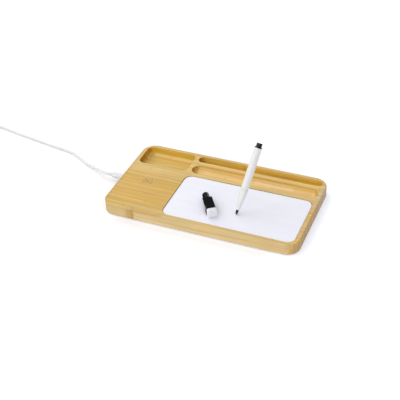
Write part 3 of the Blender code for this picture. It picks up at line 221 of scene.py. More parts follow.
# The middle of the cord, from the mouth of its plug's relief on, in metres
CORD_ROUTE = (
    (0.0, 0.0, 0.0),
    (-0.006, 0.0002, -0.0001),
    (-0.014, 0.0039, -0.0014),
    (-0.026, 0.0105, -0.0035),
    (-0.0455, 0.0188, -0.006),
    (-0.0675, 0.0309, -0.00725),
    (-0.089, 0.041, -0.00725),
    (-0.1095, 0.0453, -0.00725),
    (-0.1346, 0.0494, -0.00725),
    (-0.161, 0.0541, -0.00725),
    (-0.189, 0.0592, -0.00725),
    (-0.218, 0.0649, -0.00725),
    (-0.245, 0.0702, -0.0066),
    (-0.26, 0.0731, -0.00585),
    (-0.265, 0.0741, -0.00585),
)
CORD_LEAD_POINTS = 150
COIL_INNER = 14.5 * MM
COIL_PITCH = 4.0 * MM
COIL_TURN = math.radians(360 * 5 + 133)
COIL_START = math.radians(79)
COIL_LOW = 3.15 * MM
COIL_LOOP_POINTS = 60
TAIL_LENGTH = 40.0 * MM
TAIL_SHARES = (0.0, 0.12, 0.35, 0.65, 0.9, 1.0)
TAIL_DROP_SHARES = (0.12, 0.9)
TAIL_POINTS = 24
SUPPLY_HEIGHT = 8.0 * MM
CORD_COLOUR = (0.72, 0.72, 0.745, 1)
MID_GREY = (0.5, 0.5, 0.5, 1)
CORD_ROUNDNESS = 5


def smooth_line(route, count):
    """Points at even steps along a smooth curve through the route's points."""
    knots = [Vector(point) for point in route]
    knots = [2 * knots[0] - knots[1]] + knots + [2 * knots[-1] - knots[-2]]
    fine_steps = 24
    fine = []
    for index in range(1, len(knots) - 2):
        before, start, end, after = knots[index - 1 : index + 3]
        for step in range(fine_steps):
            t = step / fine_steps
            square = 2 * before - 5 * start + 4 * end - after
            cube = 3 * start - before - 3 * end + after
            fine.append((2 * start + (end - before) * t + square * t**2 + cube * t**3) / 2)
    fine.append(knots[-2])
    run = [0.0]
    for one, other in zip(fine, fine[1:]):
        run.append(run[-1] + (other - one).length)
    points = []
    place = 0
    for index in range(count):
        wanted = run[-1] * index / (count - 1)
        while place < len(run) - 2 and run[place + 1] < wanted:
            place += 1
        share = (wanted - run[place]) / (run[place + 1] - run[place])
        points.append(fine[place].lerp(fine[place + 1], min(share, 1.0)))
    return points


def ease(share):
    """A smooth rise from nothing to one."""
    share = min(max(share, 0.0), 1.0)
    return share * share * (3 - 2 * share)


def flat_way(angle):
    """The way along a circle at an angle, anticlockwise."""
    return Vector((-math.sin(angle), math.cos(angle), 0))


relief_low, relief_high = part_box("plug_relief")
relief_length = relief_high.x - relief_low.x
cord_start = (relief_low + relief_high) / 2
cord_start.x = relief_low.x - FIT
lead_line = smooth_line([cord_start + Vector(point) for point in CORD_ROUTE], CORD_LEAD_POINTS)

coil_outer = COIL_INNER + COIL_PITCH * COIL_TURN / 2 / math.tau
coil_side = Vector((math.cos(COIL_START), math.sin(COIL_START), 0))
coil_middle = lead_line[-1] + flat_way(COIL_START) * (FIT + CORD_DIAMETER) - coil_side * coil_outer
coil_middle.z = 0
coil_steps = round(COIL_TURN / math.tau * COIL_LOOP_POINTS)
coil_line = []
for index in range(coil_steps + 1):
    turn = COIL_TURN * index / coil_steps
    from_middle = turn - COIL_TURN / 2
    reach = COIL_INNER + COIL_PITCH * abs(from_middle) / math.tau
    rise = COIL_PITCH * ease(from_middle / math.pi + 0.5)
    spoke = Vector((math.cos(COIL_START + turn), math.sin(COIL_START + turn), 0))
    coil_line.append(coil_middle + spoke * reach + Vector((0, 0, COIL_LOW + rise)))
tail_way = flat_way(COIL_START + COIL_TURN)
coil_line.append(coil_line[-1] + tail_way * CORD_DIAMETER)

tail_start = coil_line[-1] + tail_way * FIT
tail_route = []
drop_from, drop_to = TAIL_DROP_SHARES
for share in TAIL_SHARES:
    drop = (SUPPLY_HEIGHT / 2 - tail_start.z) * ease((share - drop_from) / (drop_to - drop_from))
    tail_route.append(tail_start + tail_way * TAIL_LENGTH * share + Vector((0, 0, drop)))
tail_line = smooth_line(tail_route, TAIL_POINTS)

curve = bpy.data.curves.new("charging_cord", "CURVE")
curve.dimensions = "3D"
curve.bevel_depth = CORD_DIAMETER / 2
curve.bevel_resolution = CORD_ROUNDNESS
curve.use_fill_caps = True
spline = curve.splines.new("POLY")
cord_line = lead_line + coil_line + tail_line
spline.points.add(len(cord_line) - 1)
for spot, place in zip(spline.points, cord_line):
    spot.co = (*place, 1)
spline.use_smooth = True
cord = new_object("charging_cord", curve)


def new_group(name, **inputs):
    """A group of shader nodes for a surface: its tree, what comes in, and the place on the piece."""
    group = bpy.data.node_groups.new(name, "ShaderNodeTree")
    for label, value in inputs.items():
        kind = "NodeSocketColor" if isinstance(value, tuple) else "NodeSocketFloat"
        socket = group.interface.new_socket(name=label.replace("_", " "), in_out="INPUT", socket_type=kind)
        socket.default_value = value
    for label, kind in (("Color", "Color"), ("Roughness", "Float"), ("Height", "Float")):
        group.interface.new_socket(name=label, in_out="OUTPUT", socket_type="NodeSocket" + kind)
    came_in = group.nodes.new("NodeGroupInput").outputs
    return group, came_in, put(group, "TexCoord").outputs["Object"]


def put_out(group, *values):
    """Sends a colour, a roughness and a height out of a group."""
    for socket, value in zip(group.nodes.new("NodeGroupOutput").inputs, values):
        feed(group, socket, value)
    return group


def mixed(tree, how, factor, one, other):
    """Two colours mixed."""
    node = put(tree, "Mix", data_type="RGBA", blend_type=how)
    for index, value in ((0, factor), (6, one), (7, other)):
        feed(tree, node.inputs[index], value)
    return node.outputs[2]


def between(tree, value, low, high, to_low=0.0, to_high=1.0):
    """A value eased from one range into another."""
    values = {"Value": value, "From Min": low, "From Max": high, "To Min": to_low, "To Max": to_high}
    node = put(tree, "MapRange", values, interpolation_type="SMOOTHSTEP")
    return node.outputs["Result"]


def cloudy(tree, place, scale, detail=2.0, **values):
    """Soft uneven patches, from nothing to one."""
    return put(tree, "TexNoise", {"Vector": place, "Scale": scale, "Detail": detail, **values}).outputs[0]


def waver(tree, place, scale, detail=2.0):
    """Soft uneven patches that swing about zero."""
    return calc(tree, "SUBTRACT", cloudy(tree, place, scale, detail), 0.5)


def shaded(tree, colour, shade):
    """A colour made lighter or darker by a value."""
    grey = put(tree, "CombineColor", {"Red": shade, "Green": shade, "Blue": shade}).outputs[0]
    return mixed(tree, "MULTIPLY", 1.0, colour, grey)


def moulded_skin():
    """Moulded surface: soft clouds in the tone and gloss, and fine grain."""
    group, came_in, place = new_group(
        "moulded_skin",
        Color=MID_GREY,
        Mottle=0.05,
        Cloud_Scale=70.0,
        Grain_Scale=1800.0,
        Roughness=0.4,
        Gloss_Spread=0.1,
    )
    grain = cloudy(group, place, came_in["Grain Scale"])
    clouds = waver(group, place, came_in["Cloud Scale"], 3.0)
    uneven = calc(group, "MULTIPLY_ADD", calc(group, "SUBTRACT", grain, 0.5), 0.5, clouds)
    shade = calc(group, "MULTIPLY_ADD", uneven, came_in["Mottle"], 1.0)
    gloss = calc(group, "MULTIPLY_ADD", clouds, came_in["Gloss Spread"], came_in["Roughness"])
    return put_out(group, shaded(group, came_in["Color"], shade), gloss, grain)


MOULDED_SKIN = moulded_skin()


def dressed(name, group, relief, **values):
    """A material whose colour, roughness and bump come from a group, with values for group and shader."""
    made = bpy.data.materials.new(name)
    made.use_nodes = True
    tree = made.node_tree
    skin = put(tree, "Group", node_tree=group)
    shader = tree.nodes["Principled BSDF"]
    for label, value in values.items():
        label = label.replace("_", " ")
        feed(tree, (skin if label in skin.inputs else shader).inputs[label], value)
    bump = put(tree, "Bump", {"Height": skin.outputs["Height"], "Distance": relief})
    feed(tree, shader.inputs["Base Color"], skin.outputs["Color"])
    feed(tree, shader.inputs["Roughness"], skin.outputs["Roughness"])
    feed(tree, shader.inputs["Normal"], bump.outputs["Normal"])
    return made


moulded = partial(dressed, group=MOULDED_SKIN)
cord_finish = moulded(
    "cord_plastic",
    relief=0.01 * MM,
    Color=CORD_COLOUR,
    Grain_Scale=2500.0,
    Roughness=0.48,
    Subsurface_Weight=0.08,
)
curve.materials.append(cord_finish)
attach(cord, "lead")
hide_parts("cord_lead", "cord_coil", "cord_tail")


# Plug of the lead
# A flat moulded body with round sides, a ribbed strain relief drawn into it, and a steel shell that goes
# into the port. The body and relief are one white moulding over the wires.
PLUG_EDGE = 0.8 * MM
RELIEF_WALL = 0.35 * MM
RELIEF_WIDE = 2.6 * MM
RELIEF_RIBS = 4
RELIEF_GROOVE = 0.45 * MM
RELIEF_STEPS = 32
RIBS_FROM = 0.12
RIB_STEPS = 12
MERGE = 0.001 * MM
TINY = 0.01 * MM
WHITE_MOULDING = (0.70, 0.71, 0.745, 1)


def smoothed(piece, angle):
    """Shades a piece smooth, but for edges that are sharper than an angle."""
    piece.data.shade_smooth()
    piece.data.set_sharp_from_angle(angle=math.radians(angle))
    piece.modifiers.new("even_shading", "WEIGHTED_NORMAL").keep_sharp = True


def add_piece(name, work, finish, body, stands_for=(), smooth=35):
    """Makes a piece of a bmesh that rides on a body."""
    bmesh.ops.remove_doubles(work, verts=work.verts, dist=MERGE)
    bmesh.ops.recalc_face_normals(work, faces=work.faces)
    piece = new_object(name, new_mesh(name, work))
    smoothed(piece, smooth)
    piece.data.materials.append(finish)
    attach(piece, body)
    if stands_for:
        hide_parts(*stands_for)
    return piece


def rounded_outline(length, width, corner, centre, segments):
    """Points of a rectangle with round corners, anticlockwise from its right side."""
    points = []
    for side_x, side_y, start in ((1, 1, 0), (-1, 1, 90), (-1, -1, 180), (1, -1, 270)):
        for step in range(segments + 1):
            turn = math.radians(start + 90 * step / segments)
            point = Vector((
                centre[0] + side_x * (length / 2 - corner) + corner * math.cos(turn),
                centre[1] + side_y * (width / 2 - corner) + corner * math.sin(turn),
            ))
            if all((point - other).length > TINY for other in points[-1:] + points[:1]):
                points.append(point)
    return points


def drawn_up(outline, low, high):
    """A solid drawn straight up from a flat outline."""
    made = bmesh.new()
    foot = made.faces.new([made.verts.new((*point, low)) for point in outline])
    raised = bmesh.ops.extrude_face_region(made, geom=[foot], use_keep_orig=True)["geom"]
    rim = [item for item in raised if isinstance(item, bmesh.types.BMVert)]
    bmesh.ops.translate(made, vec=(0, 0, high - low), verts=rim)
    bmesh.ops.recalc_face_normals(made, faces=made.faces)
    return made


def block(length, width, corner, low, high, centre=(0.0, 0.0), segments=12):
    """An upright block whose four corners are round."""
    corner = min(corner, length / 2, width / 2)
    return drawn_up(rounded_outline(length, width, corner, centre, segments), low, high)


def end_face(made, up):
    """The top or the bottom face of a block."""
    return max(made.faces, key=lambda face: face.calc_center_median().z * (1 if up else -1))


def follow(made, face, profile):
    """Draws a face on along a profile of insets and steps outwards."""
    for inset, out in profile:
        bmesh.ops.inset_region(made, faces=[face], thickness=inset, depth=out, use_even_offset=True)


def rounding(radius, steps, start=0.0, end=math.pi / 2):
    """Insets and steps outwards along an arc, which by itself turns a wall over into a flat end."""
    angles = [start + (end - start) * step / steps for step in range(steps + 1)]
    return [
        (radius * (math.cos(one) - math.cos(other)), radius * (math.sin(other) - math.sin(one)))
        for one, other in zip(angles, angles[1:])
    ]


def round_end(made, up, edge, steps):
    """Rounds the rim of a block's top or bottom."""
    follow(made, end_face(made, up), rounding(edge, steps))


def rounded_bar(length, width, corner, low, high, edge, steps=5, segments=12):
    """An upright bar with round corners and round rims at both ends."""
    made = block(length, width, corner, low + edge, high - edge, segments=segments)
    for up in (True, False):
        round_end(made, up, edge, steps)
    return made


def turned(profile, steps, closed=False):
    """A lathe shape: a profile of radii and heights spun round the upright axis."""
    made = bmesh.new()
    line = [made.verts.new((radius, 0, height)) for radius, height in profile]
    pairs = list(zip(line, line[1:]))
    if closed:
        pairs.append((line[-1], line[0]))
    edges = [made.edges.new(pair) for pair in pairs]
    bmesh.ops.spin(
        made,
        geom=line + edges,
        cent=(0, 0, 0),
        axis=(0, 0, 1),
        angle=math.tau,
        steps=steps,
        use_merge=True,
    )
    return made


def laid(made, heading, place):
    """Lays an upright shape down along a heading and puts its foot at a place."""
    turn = Matrix.Rotation(heading, 4, "Z") @ Matrix.Rotation(math.pi / 2, 4, "Y")
    bmesh.ops.transform(made, matrix=Matrix.Translation(place) @ turn, verts=made.verts)
    return made


def ribbed_relief(length):
    """A tapered strain relief with round grooves, from the cord up to the plug."""
    narrow = CORD_DIAMETER / 2 + RELIEF_WALL
    profile = [(0.0, 0.0), (narrow - RELIEF_WALL / 2, 0.0), (narrow, RELIEF_WALL / 2)]
    steps = RELIEF_RIBS * RIB_STEPS
    for step in range(steps + 1):
        share = RIBS_FROM + (1 - 2 * RIBS_FROM) * step / steps
        wave = (1 - math.cos(math.tau * RELIEF_RIBS * step / steps)) / 2
        profile.append((narrow + (RELIEF_WIDE - narrow) * share - RELIEF_GROOVE * wave**2, length * share))
    profile += [(RELIEF_WIDE, length), (0.0, length)]
    return turned(profile, RELIEF_STEPS)


plug_finish = moulded(
    "plug_moulding", relief=0.01 * MM, Color=WHITE_MOULDING, Mottle=0.04, Grain_Scale=2200.0, Roughness=0.36
)
plug_low, plug_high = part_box("plug_body")
plug_size = plug_high - plug_low
work = rounded_bar(plug_size.z, plug_size.y, plug_size.z / 2, 0.0, plug_size.x, PLUG_EDGE)
plug_foot = (plug_low + plug_high) / 2
plug_foot.x = plug_low.x
laid(work, 0.0, plug_foot)
plug_moulding = add_piece("plug_moulding", work, plug_finish, "lead", ["plug_body"])
work = laid(ribbed_relief(relief_length), 0.0, cord_start + Vector((FIT, 0, 0)))
plug_sleeve = add_piece("plug_sleeve", work, cord_finish, "lead", ["plug_relief"])


def stretched(tree, place, scale, turn=(0.0, 0.0, 0.0)):
    """Places on a piece, scaled each way and turned."""
    return put(tree, "Mapping", {"Vector": place, "Rotation": turn, "Scale": scale}).outputs[0]


def drawn_metal():
    """Drawn or stamped metal: fine lines along X and a little unevenness in the gloss."""
    group, came_in, place = new_group("drawn_metal", Color=MID_GREY, Line_Scale=3000.0, Roughness=0.3)
    lines = cloudy(group, stretched(group, place, (0.04, 1.0, 1.0)), came_in["Line Scale"])
    colour = shaded(group, came_in["Color"], between(group, lines, 0.3, 0.7, 0.86, 1.05))
    gloss = calc(group, "MULTIPLY_ADD", waver(group, place, 120.0), 0.16, came_in["Roughness"])
    return put_out(group, colour, gloss, lines)


def paint_node(name, finish):
    """Gives a node of the part a finish."""
    nodes[name].data.materials.clear()
    nodes[name].data.materials.append(finish)


DRAWN_METAL = drawn_metal()
steel_finish = dressed(
    "nickel_plated_steel", DRAWN_METAL, 0.004 * MM, Color=(0.62, 0.62, 0.63, 1), Roughness=0.27, Metallic=1.0
)
paint_node("plug_shell", steel_finish)


# Tie of the cord
# A soft strap of black hook tape goes once round all the turns of the coil and lies over its own end.
STRAP_WIDTH = 5.0 * MM
STRAP_THICKNESS = 0.5 * MM
STRAP_GAP = 0.4 * MM
STRAP_SIDE_GAP = 0.8 * MM
STRAP_CORNER = 1.5 * MM
STRAP_ANGLE = math.radians(145)
STRAP_FLAP = 0.55
FLAP_CORNER = 0.2 * MM


def strap_reach():
    """The least and greatest distance of the turns from the coil's middle, where the strap goes round."""
    turn = (STRAP_ANGLE - COIL_START) % math.tau
    found = []
    while turn <= COIL_TURN:
        found.append(COIL_INNER + COIL_PITCH * abs(turn - COIL_TURN / 2) / math.tau)
        turn += math.tau
    return min(found), max(found)


def weave():
    """Woven tape: two crossing rows of raised threads, with fuzz between them."""
    group, came_in, place = new_group("weave", Color=MID_GREY, Thread_Scale=1600.0, Roughness=0.85)
    values = {"Vector": place, "Scale": came_in["Thread Scale"], "Distortion": 0.6, "Detail": 1.0}
    threads = [put(group, "TexWave", values, bands_direction=way).outputs["Fac"] for way in ("X", "Y")]
    raised = calc(group, "MULTIPLY", calc(group, "MAXIMUM", *threads), 0.6)
    height = calc(group, "MULTIPLY_ADD", cloudy(group, place, 4200.0, 3.0), 0.5, raised)
    colour = shaded(group, came_in["Color"], between(group, height, 0.2, 1.0, 0.7, 1.35))
    return put_out(group, colour, came_in["Roughness"], height)


WEAVE = weave()
strap_finish = dressed(
    "hook_tape", WEAVE, 0.12 * MM, Color=(0.022, 0.022, 0.024, 1), Sheen_Weight=0.5, Sheen_Roughness=0.5
)
strap_near, strap_far = strap_reach()
strap_across = strap_far - strap_near + CORD_DIAMETER + 2 * STRAP_SIDE_GAP
strap_high = CORD_DIAMETER + COIL_PITCH + 2 * STRAP_GAP
strap_half = STRAP_WIDTH / 2
work = block(strap_across, strap_high, STRAP_CORNER, -strap_half, strap_half, segments=6)
bmesh.ops.delete(work, geom=[end_face(work, True), end_face(work, False)], context="FACES_ONLY")
bmesh.ops.recalc_face_normals(work, faces=work.faces)
bmesh.ops.solidify(work, geom=work.faces[:], thickness=-STRAP_THICKNESS)
flap = block(strap_across * STRAP_FLAP, STRAP_THICKNESS, FLAP_CORNER, -strap_half, strap_half, segments=3)
flap_across = strap_across * (1 - STRAP_FLAP) / 2 - STRAP_CORNER
flap_low = -(strap_high / 2 + 1.5 * STRAP_THICKNESS)
bmesh.ops.translate(flap, vec=(flap_across, flap_low, 0), verts=flap.verts)
work.from_mesh(new_mesh("flap", flap))
strap_place = coil_middle + Vector((0, 0, 2 * STRAP_THICKNESS + strap_high / 2))
stand = Matrix.Translation(((strap_near + strap_far) / 2, 0, 0)) @ Matrix.Rotation(-math.pi / 2, 4, "X")
turn = Matrix.Translation(strap_place) @ Matrix.Rotation(STRAP_ANGLE, 4, "Z")
bmesh.ops.transform(work, matrix=turn @ stand, verts=work.verts)
cord_strap = add_piece("cord_strap", work, strap_finish, "lead", ["cord_tie"])


# Supply plug at the far end of the lead
# A flat rectangular plug: moulded body with soft edges, steel shell, and the white tongue inside it.
SUPPLY_LENGTH = 24.0 * MM
SUPPLY_WIDTH = 15.6 * MM
SUPPLY_EDGE = 1.2 * MM
supply_heading = math.atan2(tail_way.y, tail_way.x)
supply_foot = tail_line[-1] + tail_way * FIT
work = laid(ribbed_relief(relief_length), supply_heading, supply_foot)
supply_sleeve = add_piece("supply_sleeve", work, cord_finish, "lead", ["supply_relief"])
work = rounded_bar(SUPPLY_HEIGHT, SUPPLY_WIDTH, 2 * SUPPLY_EDGE, 0.0, SUPPLY_LENGTH, SUPPLY_EDGE)
laid(work, supply_heading, supply_foot + tail_way * (relief_length + FIT))
supply_moulding = add_piece("supply_moulding", work, plug_finish, "lead", ["supply_body"])
paint_node("supply_shell", steel_finish)
paint_node("supply_tongue", plug_finish)


# Bamboo body
# One board pressed from upright bamboo strips, 18 mm thick, sanded and lacquered. A router cuts the tray, the
# slot, the round-bottomed cove and the board's recess from above, and the bay for the electronics from below.
RIM = 7.0 * MM
REAR_RIM = 6.5 * MM
BODY_CORNER = 20.0 * MM
BODY_TOP_EDGE = 2.0 * MM
BODY_BOTTOM_EDGE = 1.2 * MM
LIP = 0.8 * MM
COVE_LIP = 0.4 * MM
OVERRUN = 1.5 * MM
TRAY_LENGTH = 81.0 * MM
TRAY_DEPTH = 11.5 * MM
TRAY_CORNER = 9.0 * MM
TRAY_COVE = 5.0 * MM
COVE_WIDTH = 22.0 * MM
COVE_DEPTH = 6.5 * MM
COVE_FLAT = 4.0 * MM
COVE_TO_SLOT = 9.0 * MM
SLOT_WIDTH = 14.0 * MM
SLOT_DEPTH = 12.0 * MM
SLOT_COVE = 3.0 * MM
TRAY_TO_GROOVES = 6.5 * MM
RECESS_SIZE = (200.0 * MM, 100.0 * MM)
RECESS_CORNER = 12.2 * MM
RECESS_LIP = 0.5 * MM
BAY_FROM_LEFT = 7.0 * MM
BAY_LENGTH = 64.0 * MM
BAY_WIDTH = 56.0 * MM
BAY_CORNER = 20.0 * MM
LEDGE = 3.0 * MM
LEDGE_CORNER = 8.0 * MM
COIL_POCKET_GAP = 0.8 * MM
CORNER_SEGMENTS = 20
FRONT_KNUCKLE = -96.5 * MM
FRONT_STREAK = 17.2 * MM
# How softly a tinted area ends each way
AREA_BLENDS = {"X": 4.5 * MM, "Y": 1.8 * MM, "Z": 0.8 * MM}
# What each area is multiplied by, and where it lies on the board in millimetres
# Most of these are painted light and shade: pocket walls and ends painted darker, floors, lands, rear walls
# and the front face painted lighter, and the rims and edges at the left and rear painted darker. The two by
# the front knuckle are the wood's own darker tone.
PAINTED_LIGHT_AND_TONE_AREAS = {
    "tray floor": ((0.93, 0.93, 0.84), dict(X=(-138, -61), Y=(30, 71), Z=(7, 10.5))),
    "tray floor by the rear wall": ((1.24, 1.36, 1.75), dict(X=(-134, -66), Y=(69.5, 74.5), Z=(7, 10.5))),
    "tray left wall": ((0.90, 0.70, 0.26), dict(X=(-147, -138.5), Y=(30, 57), Z=(7, 17.8))),
    "tray left wall at the rear": ((1.12, 0.93, 0.40), dict(X=(-147, -137), Y=(57, 77), Z=(9, 17.8))),
    "tray floor in the front corner": ((0.92, 0.88, 0.76), dict(X=(-144, -130), Y=(30, 40), Z=(7, 12))),
    "tray rear wall": ((1.02, 1.10, 1.10), dict(X=(-138, -61), Y=(73, 77), Z=(8, 17.8))),
    "slot left end": ((0.96, 0.80, 0.42), dict(X=(-57, -49), Y=(61.5, 77), Z=(7, 17.8))),
    "cove rear lip": ((0.92, 0.87, 0.74), dict(X=(-50, 144), Y=(51.5, 55), Z=(16.5, 19.5))),
    "slot rear wall": ((1.22, 1.36, 1.90), dict(X=(-50, 144), Y=(73.5, 77), Z=(8.5, 17.6))),
    "cove left end": ((0.74, 0.60, 0.25), dict(X=(-60, -48.5), Y=(30.5, 55), Z=(12, 18.4))),
    "cove floor": ((1.01, 1.08, 1.35), dict(X=(-46, 138), Y=(36, 48), Z=(12, 14.5))),
    "cove floor in the middle": ((1.08, 1.12, 1.40), dict(X=(44, 104), Y=(44.5, 51), Z=(12, 16.5))),
    "cove right end": ((0.86, 0.74, 0.42), dict(X=(137.5, 147), Y=(33, 53.5), Z=(12, 18))),
    "cove front side": ((1.05, 1.06, 1.12), dict(X=(-46, 144), Y=(30.5, 36), Z=(13, 18))),
    "land between the grooves": ((1.16, 1.14, 1.08), dict(X=(-50, 140), Y=(53.5, 61.5), Z=(18.3, 19.5))),
    "land in front of the cove": ((1.10, 1.14, 1.28), dict(X=(-50, 143), Y=(24.8, 30.5), Z=(18.3, 19.5))),
    "rear rim": ((0.93, 0.89, 0.80), dict(Y=(76.5, 83), Z=(17, 19.5))),
    "rear edge": ((0.95, 0.91, 0.82), dict(Y=(80, 83), Z=(15, 19.5))),
    "left rim": ((0.93, 0.92, 0.88), dict(X=(-151, -145), Z=(16, 19.5))),
    "left edge": ((0.96, 0.90, 0.78), dict(X=(-151, -148), Z=(12, 19.5))),
    "land beside the tray": ((1.05, 1.03, 0.85), dict(X=(-62, -56), Y=(31, 76), Z=(16, 19.5))),
    "land in front of the spot": ((1.00, 0.96, 0.84), dict(X=(-143, -60), Y=(-60, -20), Z=(18.3, 19.5))),
    "land behind the spot": ((0.97, 1.00, 1.05), dict(X=(-143, -60), Y=(-12, 27), Z=(18.3, 19.5))),
    "front left corner": ((1.00, 0.97, 0.78), dict(X=(-151, -110), Y=(-82.5, -66), Z=(12, 19.5))),
    "right rim": ((0.98, 1.02, 1.42), dict(X=(143.5, 151), Y=(-66, 66), Z=(18.3, 19.5))),
    "front rim": ((0.88, 0.93, 1.02), dict(X=(-60, 140), Y=(-81.5, -76), Z=(18.3, 19.5))),
    "front face": ((1.04, 1.05, 1.26), dict(Y=(-83, -81.5), Z=(0, 18.3))),
    "foot of the front face": ((1.10, 1.14, 1.20), dict(X=(-90, 140), Y=(-83, -81), Z=(0, 5.5))),
    "front knuckle": ((0.90, 0.78, 0.50), dict(X=(-109, -97.5), Y=(-83, -80), Z=(2, 17.6))),
    "front edge by the knuckle": ((0.93, 0.85, 0.62), dict(X=(-97, -52), Y=(-82.5, -78), Z=(17.2, 19.5))),
}
SIGN_DEPTH = 0.25 * MM
SIGN_STROKE = 0.9 * MM
SIGN_SHIFT = (0.8 * MM, -2.4 * MM)
SIGN_ARCS = (4.9 * MM, 7.5 * MM)
SIGN_ARC_HALF = math.radians(58)
SIGN_ARC_STEPS = 8
# Corners of the bolt in the sign, in millimetres from its middle
BOLT = ((1.2, 6.6), (-2.3, -0.9), (-0.5, -0.9), (-1.2, -6.6), (2.3, 0.9), (0.5, 0.9))

body_low, body_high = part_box("bamboo_body")
panel_low, panel_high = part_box("whiteboard_panel")
backing_low, backing_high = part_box("whiteboard_backing")
cover_low, cover_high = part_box("bay_cover")
circuit_low, circuit_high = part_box("circuit_board")
ferrite_low, ferrite_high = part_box("ferrite_disc")
winding_low, winding_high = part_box("charging_coil")
port_low, port_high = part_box("port_shell")
TOP = body_high.z


def middle(low, high):
    """The middle of two corners, seen from above."""
    return ((low.x + high.x) / 2, (low.y + high.y) / 2)


def moved(made, low, high):
    """Moves an upright shape from the origin to the middle of a box."""
    bmesh.ops.translate(made, vec=(*middle(low, high), 0), verts=made.verts)
    return made


def slab(low, high, corner, foot=0.0, head=0.0):
    """An upright block that fills a box, but for the room at its ends for their round edges."""
    size = high - low
    ends = (low.z + foot, high.z - head)
    return block(size.x, size.y, corner, *ends, middle(low, high), CORNER_SEGMENTS)


def helper(name, made):
    """A cutter that is taken away once it has cut."""
    bmesh.ops.recalc_face_normals(made, faces=made.faces)
    return new_object(name, new_mesh(name, made))


def carve(piece, cutters, smooth=35):
    """Cuts shapes out of a piece for good."""
    piece.modifiers.remove(piece.modifiers["even_shading"])
    for cutter in cutters:
        modifier = piece.modifiers.new(cutter.name, "BOOLEAN")
        modifier.solver = "EXACT"
        modifier.object = cutter
    graph = bpy.context.evaluated_depsgraph_get()
    cut = bpy.data.meshes.new_from_object(piece.evaluated_get(graph))
    piece.modifiers.clear()
    piece.data = cut
    smoothed(piece, smooth)
    for cutter in cutters:
        bpy.data.objects.remove(cutter)


def pocket(name, size, corner, centre, depth, lip, floor_profile):
    """A cutter for a pocket in the top: a rounded lip, a straight wall and a shaped floor."""
    length, width = size
    made = block(length + 2 * lip, width + 2 * lip, corner + lip, TOP, TOP + OVERRUN, centre, CORNER_SEGMENTS)
    wall = depth - lip - sum(out for inset, out in floor_profile)
    lip_profile = list(reversed(rounding(lip, 4)))
    follow(made, end_face(made, False), lip_profile + [(0.0, wall)] * (wall > TINY) + list(floor_profile))
    return helper(name, made)


def ball_floor(width, depth, flat, steps):
    """Insets and steps of a round floor, from its rim down to a narrow flat."""
    bend = ((width / 2) ** 2 + depth**2) / (2 * depth)
    return rounding(bend, steps, math.acos(width / 2 / bend), math.acos(flat / 2 / bend))


work = slab(body_low, body_high, BODY_CORNER, BODY_BOTTOM_EDGE, BODY_TOP_EDGE)
round_end(work, True, BODY_TOP_EDGE, 6)
round_end(work, False, BODY_BOTTOM_EDGE, 4)

tray_width = COVE_WIDTH + COVE_TO_SLOT + SLOT_WIDTH
tray_back = body_high.y - REAR_RIM
tray_centre = (body_low.x + RIM + TRAY_LENGTH / 2, tray_back - tray_width / 2)
groove_right = body_high.x - RIM
groove_left = body_low.x + RIM + TRAY_LENGTH + TRAY_TO_GROOVES
groove_length = groove_right - groove_left
groove_x = (groove_left + groove_right) / 2
slot_centre = (groove_x, tray_back - SLOT_WIDTH / 2)
cove_centre = (groove_x, tray_back - tray_width + COVE_WIDTH / 2)
recess_floor = backing_low.z - FIT
spot = middle(ferrite_low, ferrite_high)
bay_centre = (body_low.x + BAY_FROM_LEFT + BAY_LENGTH / 2, spot[1])
ledge_top = cover_high.z + FIT
port_centre = (port_low + port_high) / 2
port_centre.x = body_low.x
port_height = port_high.z - port_low.z + 2 * FIT
port_width = port_high.y - port_low.y + 2 * FIT
below = body_low.z - OVERRUN
pocket_reach = (ferrite_high.x - ferrite_low.x) / 2 + COIL_POCKET_GAP

ledge_size = (BAY_LENGTH + 2 * LEDGE, BAY_WIDTH + 2 * LEDGE)
bay_top = circuit_high.z + FIT
recess_centre = middle(panel_low, panel_high)
tray_floor = rounding(TRAY_COVE, 8)
slot_floor = rounding(SLOT_COVE, 6)
slot_size = (groove_length, SLOT_WIDTH)
cove_size = (groove_length, COVE_WIDTH)
cove_depth = COVE_DEPTH + COVE_LIP
cove_floor = ball_floor(COVE_WIDTH, COVE_DEPTH, COVE_FLAT, steps=14)
port_mouth = block(port_height, port_width, port_height / 2, -OVERRUN, BAY_FROM_LEFT + OVERRUN, segments=8)


def round_hole(reach, low, high, centre, segments):
    """A round upright cutter."""
    return block(2 * reach, 2 * reach, reach, low, high, centre, segments)


cutters = [
    pocket("tray", (TRAY_LENGTH, tray_width), TRAY_CORNER, tray_centre, TRAY_DEPTH, LIP, tray_floor),
    pocket("slot", slot_size, SLOT_WIDTH / 2, slot_centre, SLOT_DEPTH, LIP, slot_floor),
    pocket("cove", cove_size, COVE_WIDTH / 2, cove_centre, cove_depth, COVE_LIP, cove_floor),
    pocket("recess", RECESS_SIZE, RECESS_CORNER, recess_centre, TOP - recess_floor, RECESS_LIP, ()),
    helper("ledge", block(*ledge_size, LEDGE_CORNER, below, ledge_top, bay_centre)),
    helper("bay", block(BAY_LENGTH, BAY_WIDTH, BAY_CORNER, below, bay_top, bay_centre, CORNER_SEGMENTS)),
    helper("coil_pocket", round_hole(pocket_reach, ledge_top, winding_high.z + FIT, spot, CORNER_SEGMENTS)),
    helper("port_mouth", laid(port_mouth, 0.0, port_centre)),
]


def sign_stroke(name, outline):
    """A cutter that engraves one stroke of the charging sign, and leaves its bottom burnt."""
    points = [Vector(point) + Vector(spot) + Vector(SIGN_SHIFT) for point in outline]
    made = drawn_up(points, TOP - SIGN_DEPTH, TOP + OVERRUN)
    for face in made.faces:
        face.material_index = 1
    return helper(name, made)


def arc_outline(radius, middle_angle):
    """The outline of a thick arc."""
    outline = []
    for side in (1, -1):
        reach = radius + side * SIGN_STROKE / 2
        for step in range(-SIGN_ARC_STEPS, SIGN_ARC_STEPS + 1):
            angle = middle_angle + side * SIGN_ARC_HALF * step / SIGN_ARC_STEPS
            outline.append((reach * math.cos(angle), reach * math.sin(angle)))
    return outline


